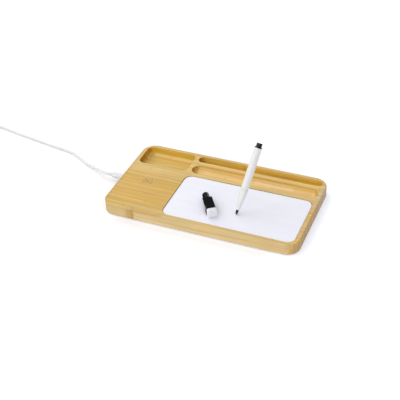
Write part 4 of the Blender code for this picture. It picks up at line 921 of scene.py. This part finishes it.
cutters.append(sign_stroke("bolt", [(x * MM, y * MM) for x, y in BOLT]))
for radius in SIGN_ARCS:
    for middle_angle in (0.0, math.pi):
        cutters.append(sign_stroke("arc", arc_outline(radius, middle_angle)))
for index in range(4):
    foot_low, foot_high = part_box(f"foot_{index + 1}")
    reach = (foot_high.x - foot_low.x) / 2 + FIT
    seat = round_hole(reach, below, foot_high.z + FIT, middle(foot_low, foot_high), 12)
    cutters.append(helper(f"foot_seat_{index + 1}", seat))


def product(tree, *values):
    """Values multiplied together."""
    result = values[0]
    for value in values[1:]:
        result = calc(tree, "MULTIPLY", result, value)
    return result


def bamboo_grain():
    """Side-pressed bamboo: strips side by side, each with its own tone, fibres, dark bundles and knuckles,
    and painted light and shade on its pockets, rims and edges.
    """
    group, came_in, place = new_group(
        "bamboo_grain",
        Pale=(0.68, 0.505, 0.213, 1),
        Golden=(0.66, 0.405, 0.082, 1),
        Warm=(0.72, 0.44, 0.15, 1),
        Dark=(0.33, 0.17, 0.05, 1),
        # Colour of the painted shade on the pocket walls
        Routed=(1.0, 0.91, 0.33, 1),
        Strip_Width=4.6 * MM,
    )
    step, ramp, blend = (partial(tool, group) for tool in (calc, between, mixed))
    parts = parted(group, place)

    def tinted(share, tint):
        """The tone, multiplied by a tint as far as a share says."""
        return blend("MIX", share, tone, blend("MULTIPLY", 1.0, tone, tint))

    def darkened(share):
        """The tone, taken toward the dark of the bundles as far as a share says."""
        return blend("MIX", share, tone, came_in["Dark"])

    def off(value, centre):
        """How far a value lies from a centre, on either side."""
        return step("ABSOLUTE", step("SUBTRACT", value, centre))

    # Strips, each of its own tone and denser toward one side
    swayed = step("MULTIPLY_ADD", waver(group, place, 5.0), 1.2 * MM, parts["Y"])
    row = step("DIVIDE", swayed, came_in["Strip Width"])
    cells = {"W": row, "Scale": 1.0, "Randomness": 0.45}
    strip = put(group, "TexVoronoi", cells, voronoi_dimensions="1D").outputs
    edges = put(group, "TexVoronoi", cells, voronoi_dimensions="1D", feature="DISTANCE_TO_EDGE")
    chance = put(group, "SeparateColor", {"Color": strip["Color"]}).outputs
    pale_rear = ramp(parts["Y"], 0.0, 34.0 * MM, 0.0, 0.45)
    pale_front = ramp(parts["Y"], -66.0 * MM, -76.0 * MM, 0.0, 0.45)
    pale_share = step("ADD", ramp(chance["Red"], 0.1, 1.0, 0.1, 0.55), step("ADD", pale_rear, pale_front))
    tone = blend("MIX", step("MINIMUM", pale_share, 1.0), came_in["Golden"], came_in["Pale"])
    patch = ramp(cloudy(group, place, 24.0, 1.0), 0.5, 0.75, 0.0, 0.4)
    warm_share = step("ADD", ramp(chance["Green"], 0.45, 1.0, 0.0, 0.32), patch)
    tone = blend("MIX", warm_share, tone, came_in["Warm"])
    flip = step("SIGN", step("SUBTRACT", chance["Blue"], 0.5))
    skinward = step("MULTIPLY", step("SUBTRACT", row, strip["W"]), flip)
    tone = tinted(ramp(skinward, 0.0, 0.5), (0.94, 0.90, 0.82, 1))
    tone = shaded(group, tone, ramp(cloudy(group, place, 9.0), 0.25, 0.75, 0.93, 1.05))

    # Fibres along the strips, fine and coarse, and short dark bundles among them
    own = step("MULTIPLY", chance["Blue"], 40.0)
    apart = put(group, "CombineXYZ", {"X": own, "Y": own, "Z": own}).outputs[0]
    shifted = put(group, "VectorMath", {0: place, 1: apart}, operation="ADD").outputs[0]
    fibre = cloudy(group, stretched(group, shifted, (16.0, 900.0, 900.0)), 1.0, 3.0, Roughness=0.6)
    tone = shaded(group, tone, ramp(fibre, 0.25, 0.75, 0.88, 1.08))
    coarse = cloudy(group, stretched(group, shifted, (7.0, 300.0, 300.0)), 1.0)
    tone = shaded(group, tone, ramp(coarse, 0.3, 0.7, 0.90, 1.07))
    bundles = {"Vector": stretched(group, shifted, (6.0, 1500.0, 1500.0)), "Scale": 1.0}
    bundle = put(group, "TexVoronoi", bundles).outputs["Distance"]
    few = ramp(cloudy(group, shifted, 260.0, 1.0), 0.45, 0.62)
    dashes = step("MULTIPLY", ramp(bundle, 0.32, 0.12), few)
    tone = darkened(step("MULTIPLY", dashes, 0.38))

    # A knuckle across each strip, the broad one on the front face with its streak, and the glued seams
    along = step("ADD", step("DIVIDE", parts["X"], 0.23), chance["Red"])
    beside = off(step("FRACT", along), 0.5)
    ragged = waver(group, place, 420.0)
    knuckle = ramp(step("MULTIPLY_ADD", ragged, 0.012, beside), 0.013, 0.004)
    strength = ramp(chance["Green"], 0.3, 1.0, 0.05, 0.22)
    tone = darkened(step("MULTIPLY", knuckle, strength))
    ragged_x = step("MULTIPLY_ADD", ragged, 3.0 * MM, parts["X"])
    ridge = ramp(ragged_x, FRONT_KNUCKLE - 9.0 * MM, FRONT_KNUCKLE - 3.0 * MM, 0.0, 0.38)
    skirt = ramp(ragged_x, FRONT_KNUCKLE - 22.0 * MM, FRONT_KNUCKLE - 6.0 * MM, 0.0, 0.18)
    left_of = ramp(ragged_x, FRONT_KNUCKLE + 0.4 * MM, FRONT_KNUCKLE - 0.6 * MM)
    streak = product(
        group,
        ramp(off(parts["Z"], FRONT_STREAK), 1.9 * MM, 0.5 * MM, 0.0, 0.32),
        ramp(parts["X"], FRONT_KNUCKLE + 55.0 * MM, FRONT_KNUCKLE + 25.0 * MM),
        step("SUBTRACT", 1.0, left_of),
    )
    marked = step("MAXIMUM", step("MULTIPLY", step("MAXIMUM", ridge, skirt), left_of), streak)
    on_front = ramp(parts["Y"], -76.5 * MM, -77.5 * MM)
    tone = darkened(step("MULTIPLY", marked, on_front))
    joint = ramp(edges.outputs["Distance"], 0.022, 0.006)
    tone = darkened(step("MULTIPLY", joint, 0.3))

    # Areas painted lighter or darker, most of them painted light and shade, and the wood's darker tone by the
    # front knuckle
    for tint, ranges in PAINTED_LIGHT_AND_TONE_AREAS.values():
        share = 1.0
        for axis, (start, end) in ranges.items():
            half = (end - start) / 2 * MM
            fade = AREA_BLENDS[axis] / 2
            within = ramp(off(parts[axis], (start + end) / 2 * MM), half + fade, half - fade)
            share = step("MULTIPLY", share, within)
        tone = tinted(share, (*tint, 1))

    # Painted light on the shallow floors, painted shade on the pocket walls and on the rounded edges at the
    # left and rear, and end grain
    facing = parted(group, put(group, "NewGeometry").outputs["True Normal"])
    level = step("ABSOLUTE", facing["Z"])
    # Painted light: up-facing floors a few millimetres below the top, such as the cove's, made lighter
    shallow = product(
        group,
        ramp(parts["Z"], TOP - 1.5 * MM, TOP - 4.0 * MM),
        ramp(parts["Z"], TOP - 8.5 * MM, TOP - 7.0 * MM),
        ramp(facing["Z"], 0.5, 0.95),
    )
    tone = tinted(shallow, (1.17, 1.10, 1.12, 1))
    past = []
    for axis, half in (("X", body_high.x), ("Y", body_high.y)):
        beyond = step("SUBTRACT", step("ABSOLUTE", parts[axis]), half - BODY_CORNER)
        past.append(step("POWER", step("MAXIMUM", beyond, 0.0), 2.0))
    from_corner = step("SQRT", step("ADD", *past))
    inside = ramp(from_corner, BODY_CORNER - 3.0 * MM, BODY_CORNER - 4.5 * MM)
    # Painted shade: steep pocket walls below the top, inside the rounded outline, made darker and more
    # golden, most where they lie deep
    below_top = ramp(parts["Z"], TOP - 0.3 * MM, TOP - 2.0 * MM)
    deep = step("MAXIMUM", ramp(parts["Z"], TOP - 6.0 * MM, TOP - 8.5 * MM, 0.55, 1.0), ramp(level, 0.6, 0.2))
    pocket_wall_shade = product(group, inside, below_top, ramp(level, 0.98, 0.35, 0.38, 1.0), deep)
    tone = tinted(pocket_wall_shade, came_in["Routed"])
    # Painted shade: the rounded top edges that face left or rear made darker
    to_left_or_rear = step("MAXIMUM", ramp(facing["X"], -0.12, -0.5), ramp(facing["Y"], 0.12, 0.5))
    rounded = step("MULTIPLY", step("SUBTRACT", 1.0, inside), ramp(facing["Z"], 0.0, 0.25))
    painted_rim_shade = product(group, to_left_or_rear, rounded, ramp(facing["Y"], -0.5, -0.1))
    tone = tinted(painted_rim_shade, (0.60, 0.60, 0.60, 1))
    ends = blend("MIX", ramp(chance["Green"], 0.3, 0.7), (0.85, 0.81, 0.97, 1), (0.69, 0.70, 0.90, 1))
    tone = tinted(ramp(step("ABSOLUTE", facing["X"]), 0.5, 0.9), ends)
    height = step("MULTIPLY_ADD", fibre, 0.7, step("MULTIPLY", dashes, -0.5))
    height = step("MULTIPLY_ADD", joint, -1.0, height)
    return put_out(group, tone, ramp(fibre, 0.2, 0.8, 0.38, 0.52), height)


BAMBOO_GRAIN = bamboo_grain()
bamboo_finish = dressed("lacquered_bamboo", BAMBOO_GRAIN, 0.03 * MM, Specular_IOR_Level=0.25)
burnt_finish = dressed(
    "burnt_bamboo",
    BAMBOO_GRAIN,
    0.03 * MM,
    Pale=(0.53, 0.38, 0.14, 1),
    Golden=(0.48, 0.32, 0.09, 1),
    Warm=(0.50, 0.32, 0.10, 1),
    Specular_IOR_Level=0.2,
)
board = add_piece("milled_bamboo", work, bamboo_finish, "organizer", ["bamboo_body"])
board.data.materials.append(burnt_finish)
carve(board, cutters)


# Whiteboard
# A thin steel panel with a glossy white writing coat, stuck into its recess on an adhesive sheet. The coat
# carries the faint streaks of a wiped cloth.
PANEL_CORNER = 11.6 * MM
PANEL_EDGE = 0.3 * MM


def wiped_coat():
    """Glossy white coat with soft streaks that a cloth leaves in the gloss."""
    group, came_in, place = new_group("wiped_coat", Color=MID_GREY, Roughness=0.2)
    streak = cloudy(group, stretched(group, place, (14.0, 90.0, 60.0), (0, 0, 0.5)), 1.0, 3.0)
    colour = shaded(group, came_in["Color"], between(group, streak, 0.3, 0.7, 0.985, 1.01))
    gloss = calc(group, "MULTIPLY_ADD", calc(group, "SUBTRACT", streak, 0.5), 0.16, came_in["Roughness"])
    return put_out(group, colour, gloss, cloudy(group, place, 700.0, 1.0))


work = slab(panel_low, panel_high, PANEL_CORNER, head=PANEL_EDGE)
round_end(work, True, PANEL_EDGE, 4)
panel_finish = dressed(
    "writing_coat",
    wiped_coat(),
    0.002 * MM,
    Color=(0.83, 0.835, 0.915, 1),
    Coat_Weight=0.3,
    Coat_Roughness=0.08,
)
add_piece("writing_panel", work, panel_finish, "organizer", ["whiteboard_panel"])
sheet_finish = moulded(
    "adhesive_sheet",
    relief=0.05 * MM,
    Color=(0.74, 0.73, 0.68, 1),
    Mottle=0.2,
    Grain_Scale=900.0,
    Roughness=0.8,
)
paint_node("whiteboard_backing", sheet_finish)


# Feet
# Four turned pads of soft grey rubber pressed into seats in the underside. Their ground faces are dished a
# little, so that they grip the desk with a ring.
FOOT_EDGE = 0.6 * MM
FOOT_DISH = 0.25 * MM
DISH_SHARE = 0.62
RIM_SHARE = 0.72
FOOT_STEPS = 48
rubber_finish = moulded(
    "foot_rubber",
    relief=0.04 * MM,
    Color=(0.25, 0.245, 0.23, 1),
    Mottle=0.25,
    Grain_Scale=1500.0,
    Roughness=0.75,
)
for index in range(4):
    foot_low, foot_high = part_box(f"foot_{index + 1}")
    reach = (foot_high.x - foot_low.x) / 2
    profile = [(0.0, FOOT_DISH), (reach * DISH_SHARE, FOOT_DISH), (reach * RIM_SHARE, 0.0)]
    out = reach - FOOT_EDGE
    rise = 0.0
    for inset, step in reversed(rounding(FOOT_EDGE, 5)):
        profile.append((out, rise))
        out += inset
        rise += step
    profile += [(reach, FOOT_EDGE), (reach, foot_high.z), (0.0, foot_high.z)]
    work = moved(turned(profile, FOOT_STEPS), foot_low, foot_high)
    name = f"foot_{index + 1}"
    add_piece("rubber_" + name, work, rubber_finish, "organizer", [name])


# Bottom cover and its screws
# A black moulded plate closes the bay from below, flush with the wood, held by four countersunk steel screws
# with cross recesses.
COVER_EDGE = 0.5 * MM
COVER_CORNER = 7.7 * MM
HEAD_RADIUS = 2.3 * MM
HEAD_HEIGHT = 1.3 * MM
HEAD_EDGE = 0.1 * MM
SHANK_RADIUS = 1.0 * MM
CROSS_LENGTH = 2.4 * MM
CROSS_WIDTH = 0.55 * MM
CROSS_DEPTH = 0.8 * MM
CROSS_TAPER = 0.55
THREAD_DEPTH = 0.18 * MM
THREAD_PITCH = 0.8 * MM
SCREW_STEPS = 32
work = slab(cover_low, cover_high, COVER_CORNER, foot=COVER_EDGE)
round_end(work, False, COVER_EDGE, 4)
cover_finish = moulded(
    "grained_black_moulding",
    relief=0.12 * MM,
    Color=(0.022, 0.022, 0.023, 1),
    Mottle=0.3,
    Grain_Scale=1100.0,
    Roughness=0.52,
)
cover = add_piece("bottom_cover", work, cover_finish, "organizer", ["bay_cover"])
sinks = []
screw_boxes = [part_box(f"cover_screw_{index + 1}") for index in range(4)]
for index, (low, high) in enumerate(screw_boxes):
    wide = HEAD_RADIUS + FIT
    narrow = SHANK_RADIUS + FIT
    under, over = low.z - OVERRUN, cover_high.z + OVERRUN
    profile = [(0.0, under), (wide, under), (wide, low.z)]
    profile += [(narrow, low.z + HEAD_HEIGHT), (narrow, over), (0.0, over)]
    sinks.append(helper(f"sink_{index + 1}", moved(turned(profile, SCREW_STEPS), low, high)))
carve(cover, sinks)


def cross_cutters(name, place, low):
    """Two crossed slots that narrow with their depth."""
    bars = []
    for index, (length, width) in enumerate(((CROSS_LENGTH, CROSS_WIDTH), (CROSS_WIDTH, CROSS_LENGTH))):
        made = bmesh.new()
        bmesh.ops.create_cube(made, size=1.0)
        bmesh.ops.scale(made, vec=(length, width, 2 * CROSS_DEPTH), verts=made.verts)
        top = [vert for vert in made.verts if vert.co.z > 0]
        bmesh.ops.scale(made, vec=(CROSS_TAPER, CROSS_TAPER, 1.0), verts=top)
        bmesh.ops.translate(made, vec=(*place, low), verts=made.verts)
        bars.append(helper(f"{name}_{index + 1}", made))
    return bars


def threaded_shank(start, end):
    """Radii and heights of a shank with shallow turned threads and a point."""
    profile = []
    height = start
    while height + THREAD_PITCH < end - SHANK_RADIUS:
        profile += [(SHANK_RADIUS - THREAD_DEPTH, height), (SHANK_RADIUS, height + THREAD_PITCH / 2)]
        height += THREAD_PITCH
    return profile + [(SHANK_RADIUS - THREAD_DEPTH, height), (0.0, end)]


for index, (low, high) in enumerate(screw_boxes):
    profile = [(0.0, low.z), (HEAD_RADIUS - HEAD_EDGE, low.z), (HEAD_RADIUS, low.z + HEAD_EDGE)]
    profile += [(SHANK_RADIUS, low.z + HEAD_HEIGHT)]
    profile += threaded_shank(low.z + HEAD_HEIGHT + THREAD_PITCH / 2, high.z)
    work = moved(turned(profile, SCREW_STEPS), low, high)
    name = f"cover_screw_{index + 1}"
    screw = add_piece(f"countersunk_screw_{index + 1}", work, steel_finish, "organizer", [name])
    carve(screw, cross_cutters(f"cross_{index + 1}", middle(low, high), low.z))


# Charging module inside the bay
# A wound copper coil on a ferrite disc, the green circuit board under it with its parts, four small screws
# and a foam pad that holds all of it up against the wood. None of it shows while the cover is on.
FOAM_EDGE = 0.5 * MM
FOAM_CORNER = 17.0 * MM
copper_finish = dressed(
    "lacquered_copper",
    DRAWN_METAL,
    0.01 * MM,
    Color=(0.72, 0.30, 0.12, 1),
    Line_Scale=1800.0,
    Roughness=0.32,
    Metallic=1.0,
)
# What is moulded or fired in the bay: depth of its grain in millimetres, colour, mottling, size of its
# clouds and of its grain, and roughness.
MODULE_FINISHES = {
    "sintered_ferrite": (0.05, (0.035, 0.034, 0.038, 1), 0.35, 70.0, 2400.0, 0.60),
    "green_circuit_lacquer": (0.01, (0.012, 0.170, 0.065, 1), 0.20, 300.0, 1800.0, 0.33),
    "fired_ceramic": (0.01, (0.450, 0.330, 0.200, 1), 0.20, 70.0, 1800.0, 0.42),
    "chip_moulding": (0.02, (0.018, 0.018, 0.020, 1), 0.30, 70.0, 3000.0, 0.50),
    "open_foam": (0.40, (0.070, 0.070, 0.078, 1), 0.90, 70.0, 1400.0, 0.95),
}
labels = ("Color", "Mottle", "Cloud_Scale", "Grain_Scale", "Roughness")
finishes = {}
for name, (relief, *skin) in MODULE_FINISHES.items():
    finishes[name] = moulded(name, relief=relief * MM, **dict(zip(labels, skin)))
paint_node("charging_coil", copper_finish)
paint_node("port_shell", steel_finish)
for name in ("ferrite_disc", "power_inductor"):
    paint_node(name, finishes["sintered_ferrite"])
for name in ("charge_controller", "port_tongue"):
    paint_node(name, finishes["chip_moulding"])
paint_node("circuit_board", finishes["green_circuit_lacquer"])
for index in range(3):
    paint_node(f"capacitor_{index + 1}", finishes["fired_ceramic"])
for index in range(4):
    paint_node(f"circuit_screw_{index + 1}", steel_finish)
foam_low, foam_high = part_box("foam_pad")
foam_size = foam_high - foam_low
work = rounded_bar(foam_size.x, foam_size.y, FOAM_CORNER, foam_low.z, foam_high.z, FOAM_EDGE)
moved(work, foam_low, foam_high)
foam = add_piece("foam_block", work, finishes["open_foam"], "organizer", ["foam_pad"])


# Marker
# A slim dry marker that stands on its nib on the board: a pressed fibre nib, a tapered nose, a straight
# barrel, and a black plug with a flange and a ribbed neck in its end. Nose and barrel are one white plastic.
TIP_FROM_BOARD = (4.1 * MM, -16.1 * MM)
NIB_LENGTH = 7.2 * MM
NIB_RADIUS = 1.9 * MM
NIB_TIP = 0.75 * MM
NIB_TAPER = 0.72
NIB_SWELL = 0.9
NIB_SHANK = 10.0 * MM
NOSE_LENGTH = 30.0 * MM
NOSE_MOUTH = 2.5 * MM
NOSE_SWELL = 0.7 * MM
NOSE_STEPS = 24
BARREL_RADIUS = 5.6 * MM
BARREL_BORE = 4.4 * MM
BARREL_LENGTH = 62.0 * MM
FLANGE = 1.5 * MM
NECK_RADIUS = 4.1 * MM
NECK_LENGTH = 5.6 * MM
NECK_LIP = 4.5 * MM
NECK_RIM = 0.7
NECK_HOLLOW = 0.6
SPIGOT = 6.0 * MM
SOFT_EDGE = 0.4 * MM
ROUND_STEPS = 72
RIB_COUNT = 18
RIB_DEPTH = 0.3 * MM
BARREL_LEFT_PAINTED_SHADE = (0.84, 0.84, 0.84)
PAINTED_HIGHLIGHT_GREY = (0.11, 0.11, 0.11)

marker_axis = next(Vector(joint["axis"]) for joint in frame["joints"] if joint["name"] == "marker_lift")
board_middle = Vector((*middle(panel_low, panel_high), panel_high.z + FIT))
marker_tip = board_middle + Vector((*TIP_FROM_BOARD, 0.0))
marker_turn = Matrix.Translation(marker_tip) @ marker_axis.to_track_quat("Z", "Y").to_matrix().to_4x4()

barrel_finish = moulded(
    "white_barrel_plastic",
    relief=0.004 * MM,
    Color=(0.80, 0.80, 0.795, 1),
    Mottle=0.03,
    Grain_Scale=2600.0,
    Roughness=0.3,
    Coat_Weight=0.1,
)
black_finish = moulded(
    "glossy_black_moulding",
    relief=0.01 * MM,
    Color=(0.0032, 0.0032, 0.0045, 1),
    Mottle=0.3,
    Grain_Scale=1600.0,
    Roughness=0.26,
    Specular_IOR_Level=0.1,
)


def tint_faces(finish, blend, tint, *ranges):
    """Tints the faces of a material whose normal lies between two values on each axis named."""
    tree = finish.node_tree
    faces_to = parted(tree, put(tree, "NewGeometry").outputs["Normal"])
    share = 1.0
    for axis, start, end in ranges:
        share = calc(tree, "MULTIPLY", share, between(tree, faces_to[axis], start, end))
    colour = tree.nodes["Principled BSDF"].inputs["Base Color"]
    feed(tree, colour, mixed(tree, blend, share, colour.links[0].from_socket, (*tint, 1)))


# Painted shade: the barrel and nose are darker on the side that faces left
tint_faces(barrel_finish, "MULTIPLY", BARREL_LEFT_PAINTED_SHADE, ("X", -0.3, -0.85))
# Painted highlight: a grey streak on the end plug's faces that turn a little to the left
tint_faces(black_finish, "MIX", PAINTED_HIGHLIGHT_GREY, ("X", -0.5, -0.35), ("X", 0.0, -0.12))
fibre_finish = dressed(
    "pressed_fibre", WEAVE, 0.05 * MM, Color=(0.012, 0.012, 0.014, 1), Thread_Scale=2600.0, Roughness=0.95
)


def stand_on_tip(name, made, finish, node, smooth=35):
    """Puts a turned piece on the marker's axis."""
    bmesh.ops.transform(made, matrix=marker_turn, verts=made.verts)
    add_piece(name, made, finish, "marker", [node], smooth)


shank = NIB_RADIUS - FIT
profile = [(0.0, 0.0)]
for step in range(1, 7):
    turn = math.pi / 2 * step / 6
    profile.append((NIB_TIP * math.sin(turn), NIB_TIP * (1 - math.cos(turn))))
for step in range(1, 9):
    share = step / 8
    swell = math.sin(math.pi / 2 * share) ** NIB_SWELL
    profile.append((
        NIB_TIP + (NIB_RADIUS - NIB_TIP) * swell,
        NIB_TIP + (NIB_LENGTH * NIB_TAPER - NIB_TIP) * share,
    ))
profile += [
    (NIB_RADIUS, NIB_LENGTH - FIT),
    (shank, NIB_LENGTH - FIT),
    (shank, NIB_LENGTH + NIB_SHANK),
    (0.0, NIB_LENGTH + NIB_SHANK),
]
stand_on_tip("fibre_nib", turned(profile, ROUND_STEPS), fibre_finish, "marker_nib")

nose_high = NIB_LENGTH + NOSE_LENGTH
profile = [(NIB_RADIUS, NIB_LENGTH), (NOSE_MOUTH - SOFT_EDGE / 2, NIB_LENGTH)]
for step in range(NOSE_STEPS + 1):
    share = step / NOSE_STEPS
    radius = NOSE_MOUTH + (BARREL_RADIUS - NOSE_MOUTH) * share
    radius += NOSE_SWELL * math.sin(math.pi * share) * share
    profile.append((radius, NIB_LENGTH + SOFT_EDGE / 2 + (NOSE_LENGTH - SOFT_EDGE) * share))
profile += [
    (BARREL_RADIUS - SOFT_EDGE / 4, nose_high),
    (BARREL_BORE - FIT, nose_high),
    (BARREL_BORE - FIT, nose_high + SPIGOT),
    (NIB_RADIUS, nose_high + SPIGOT),
]
work = turned(profile, ROUND_STEPS, True)
stand_on_tip("tapered_nose", work, barrel_finish, "marker_nose", smooth=25)

barrel_low = nose_high + FIT
barrel_high = barrel_low + BARREL_LENGTH
profile = [
    (BARREL_BORE, barrel_low),
    (BARREL_RADIUS - SOFT_EDGE / 4, barrel_low),
    (BARREL_RADIUS, barrel_low + SOFT_EDGE / 4),
    (BARREL_RADIUS, barrel_high - SOFT_EDGE),
    (BARREL_RADIUS - SOFT_EDGE / 3, barrel_high - SOFT_EDGE / 3),
    (BARREL_RADIUS - SOFT_EDGE, barrel_high),
    (BARREL_BORE, barrel_high),
]
work = turned(profile, ROUND_STEPS, True)
stand_on_tip("marker_tube", work, barrel_finish, "marker_barrel")

flange_low = barrel_high + FIT
flange_high = flange_low + FLANGE
neck_high = flange_high + NECK_LENGTH
plug_spigot = BARREL_BORE - FIT
profile = [
    (0.0, flange_low - SPIGOT),
    (plug_spigot - SOFT_EDGE, flange_low - SPIGOT),
    (plug_spigot, flange_low - SPIGOT + SOFT_EDGE),
    (plug_spigot, flange_low),
    (BARREL_RADIUS, flange_low),
    (BARREL_RADIUS, flange_high - SOFT_EDGE),
    (BARREL_RADIUS - SOFT_EDGE, flange_high),
    (NECK_RADIUS, flange_high),
    (NECK_RADIUS, neck_high - 2 * SOFT_EDGE),
    (NECK_LIP, neck_high - SOFT_EDGE),
    (NECK_LIP - SOFT_EDGE, neck_high),
    (NECK_RADIUS * NECK_RIM, neck_high),
    (NECK_RADIUS * NECK_HOLLOW, neck_high - SOFT_EDGE),
    (0.0, neck_high - SOFT_EDGE),
]
work = turned(profile, ROUND_STEPS)
for vert in work.verts:
    reach = math.hypot(vert.co.x, vert.co.y)
    if abs(reach - NECK_RADIUS) < TINY and vert.co.z > flange_high - TINY:
        rib = math.cos(RIB_COUNT * math.atan2(vert.co.y, vert.co.x))
        shrink = 1 - RIB_DEPTH / 2 * (1 - rib) / reach
        vert.co.x *= shrink
        vert.co.y *= shrink
stand_on_tip("ribbed_end_plug", work, black_finish, "marker_end_plug", smooth=25)
paint_node("ink_reservoir", fibre_finish)


# Cap of the marker
# A black moulding that lies on the board: a narrow bored collar and a squarish body, with a short dark magnet
# glued to the left of its end, and a block of white felt on the end to wipe the board with.
MOUTH_FROM_BOARD = (-52.0 * MM, 6.1 * MM)
CAP_HEADING = math.radians(-55.2)
COLLAR_RADIUS = 4.9 * MM
COLLAR_LENGTH = 13.2 * MM
CAP_BORE = 4.0 * MM
CAP_BORE_DEPTH = 24.0 * MM
CAP_LENGTH = 27.0 * MM
CAP_WIDTH = 12.8 * MM
CAP_HEIGHT = 11.0 * MM
CAP_CORNER = 0.8 * MM
CAP_FLARE = 0.16
CAP_SKEW = 0.35 * MM
CAP_TUCK = 0.55
CAP_EDGE = 0.4 * MM
CAP_COAT = 0.12
MAGNET_THICKNESS = 1.2 * MM
MAGNET_LENGTH = 7.0 * MM
MAGNET_HEIGHT = 10.2 * MM
MAGNET_CORNER = 0.4 * MM
MAGNET_EDGE = 0.2 * MM
FELT_THICKNESS = 7.8 * MM
FELT_WIDTH = 13.8 * MM
FELT_HEIGHT = 11.6 * MM
FELT_CORNER = 2.4 * MM
FELT_EDGE = 1.0 * MM
FELT_CUTS = 5
FELT_MESH = 1.1 * MM
FELT_FUZZ = 0.14 * MM
FUZZ_SCALE = 900
FELT_TOP_PAINTED_SHADE = (0.88, 0.88, 0.88)

cap_mouth = board_middle + Vector((*MOUTH_FROM_BOARD, max(CAP_HEIGHT, FELT_HEIGHT) / 2))
cap_end = COLLAR_LENGTH + CAP_LENGTH
cap_finish = moulded(
    "black_moulding_with_painted_highlight",
    relief=0.01 * MM,
    Color=(0.004, 0.004, 0.005, 1),
    Mottle=0.3,
    Grain_Scale=1600.0,
    Roughness=0.4,
    Specular_IOR_Level=0.0,
    Coat_Roughness=0.2,
)
tree = cap_finish.node_tree
facing_up = parted(tree, put(tree, "NewGeometry").outputs["Normal"])["Z"]
coat = tree.nodes["Principled BSDF"].inputs["Coat Weight"]
feed(tree, coat, between(tree, facing_up, 0.2, 0.9, 0.0, CAP_COAT))
# Painted highlight: grey where the faces turn up and to the right, on the collar most of all
tint_faces(cap_finish, "MIX", PAINTED_HIGHLIGHT_GREY, ("X", 0.1, 0.3), ("Z", 0.3, 0.6))
work = rounded_bar(CAP_HEIGHT, CAP_WIDTH, CAP_CORNER, COLLAR_LENGTH, cap_end, CAP_EDGE, steps=4, segments=6)
for vert in work.verts:
    along = (cap_end - vert.co.z) / CAP_LENGTH
    down = 0.5 + vert.co.x / CAP_HEIGHT
    vert.co.y *= 1 + along * (CAP_FLARE - CAP_TUCK * down)
    vert.co.y -= along * CAP_SKEW
laid(work, CAP_HEADING, cap_mouth)
cap = add_piece("bored_cap", work, cap_finish, "cap", ["cap_shell"])
collar_end = COLLAR_LENGTH + CAP_LENGTH / 3
profile = [(0.0, 0.0), (COLLAR_RADIUS - CAP_EDGE, 0.0), (COLLAR_RADIUS - CAP_EDGE / 4, CAP_EDGE / 4)]
profile += [(COLLAR_RADIUS, CAP_EDGE), (COLLAR_RADIUS, collar_end), (0.0, collar_end)]
collar = helper("collar", laid(turned(profile, ROUND_STEPS), CAP_HEADING, cap_mouth))
join = cap.modifiers.new("collar", "BOOLEAN")
join.operation = "UNION"
join.object = collar
bore_bottom = CAP_BORE_DEPTH + CAP_BORE / 2
profile = [(0.0, -OVERRUN), (CAP_BORE, -OVERRUN), (CAP_BORE, CAP_BORE_DEPTH), (0.0, bore_bottom)]
bore = laid(turned(profile, ROUND_STEPS), CAP_HEADING, cap_mouth)
carve(cap, [helper("bore", bore)], smooth=30)
bpy.data.objects.remove(collar)

strip_finish = moulded(
    "rubber_magnet",
    relief=0.03 * MM,
    Color=(0.13, 0.105, 0.14, 1),
    Mottle=0.3,
    Grain_Scale=1500.0,
    Roughness=0.62,
    Specular_IOR_Level=0.2,
)
magnet_low = cap_end - MAGNET_LENGTH
strip_size = (MAGNET_HEIGHT, MAGNET_THICKNESS)
work = rounded_bar(*strip_size, MAGNET_CORNER, magnet_low, cap_end, MAGNET_EDGE, steps=3, segments=4)
strip_out = -(CAP_WIDTH + MAGNET_THICKNESS) / 2 - FIT
bmesh.ops.translate(work, vec=(0, strip_out, 0), verts=work.verts)
add_piece("magnet_strip", laid(work, CAP_HEADING, cap_mouth), strip_finish, "cap", ["cap_magnet"])

felt_low = cap_end + FIT
felt_high = felt_low + FELT_THICKNESS
work = block(FELT_HEIGHT, FELT_WIDTH, FELT_CORNER, felt_low, felt_high - FELT_EDGE, segments=8)
round_end(work, True, FELT_EDGE, 4)
bmesh.ops.triangulate(work, faces=[face for face in work.faces if len(face.verts) > 4])
for _ in range(2):
    long_edges = [edge for edge in work.edges if edge.calc_length() > FELT_MESH]
    bmesh.ops.subdivide_edges(work, edges=long_edges, cuts=FELT_CUTS, use_grid_fill=True)
    bmesh.ops.triangulate(work, faces=work.faces)
bmesh.ops.remove_doubles(work, verts=work.verts, dist=MERGE)
bmesh.ops.recalc_face_normals(work, faces=work.faces)
work.normal_update()
for vert in work.verts:
    if vert.co.z > felt_low + TINY:
        rough = noise.fractal(vert.co * FUZZ_SCALE, 0.8, 2.0, 3)
        vert.co += vert.normal * FELT_FUZZ * rough
laid(work, CAP_HEADING, cap_mouth)


def felt_fuzz():
    """White felt: matted fibres that cross each other, with shade in the hollows between them."""
    group, came_in, place = new_group("felt_fuzz", Color=MID_GREY, Fibre_Scale=1500.0)
    heaps = []
    for turn, scale in (((0.4, 0.2, 0.9), (0.15, 1.0, 1.0)), ((1.2, 0.7, 2.3), (1.0, 0.15, 1.0))):
        bent = stretched(group, place, scale, turn)
        heaps.append(cloudy(group, bent, came_in["Fibre Scale"], 3.0, Distortion=1.2))
    pile = calc(group, "MAXIMUM", *heaps)
    colour = shaded(group, came_in["Color"], between(group, pile, 0.4, 0.7, 0.82, 1.06))
    return put_out(group, colour, between(group, pile, 0.3, 0.8, 1.0, 0.9), pile)


felt_finish = dressed(
    "white_felt", felt_fuzz(), 0.25 * MM, Color=(0.87, 0.89, 0.935, 1), Sheen_Weight=0.4, Sheen_Roughness=0.6
)
# Painted shade: the felt's upward faces made darker
tint_faces(felt_finish, "MULTIPLY", FELT_TOP_PAINTED_SHADE, ("Z", 0.5, 0.95))
felt = add_piece("felt_eraser", work, felt_finish, "cap", ["eraser_felt"], smooth=180)
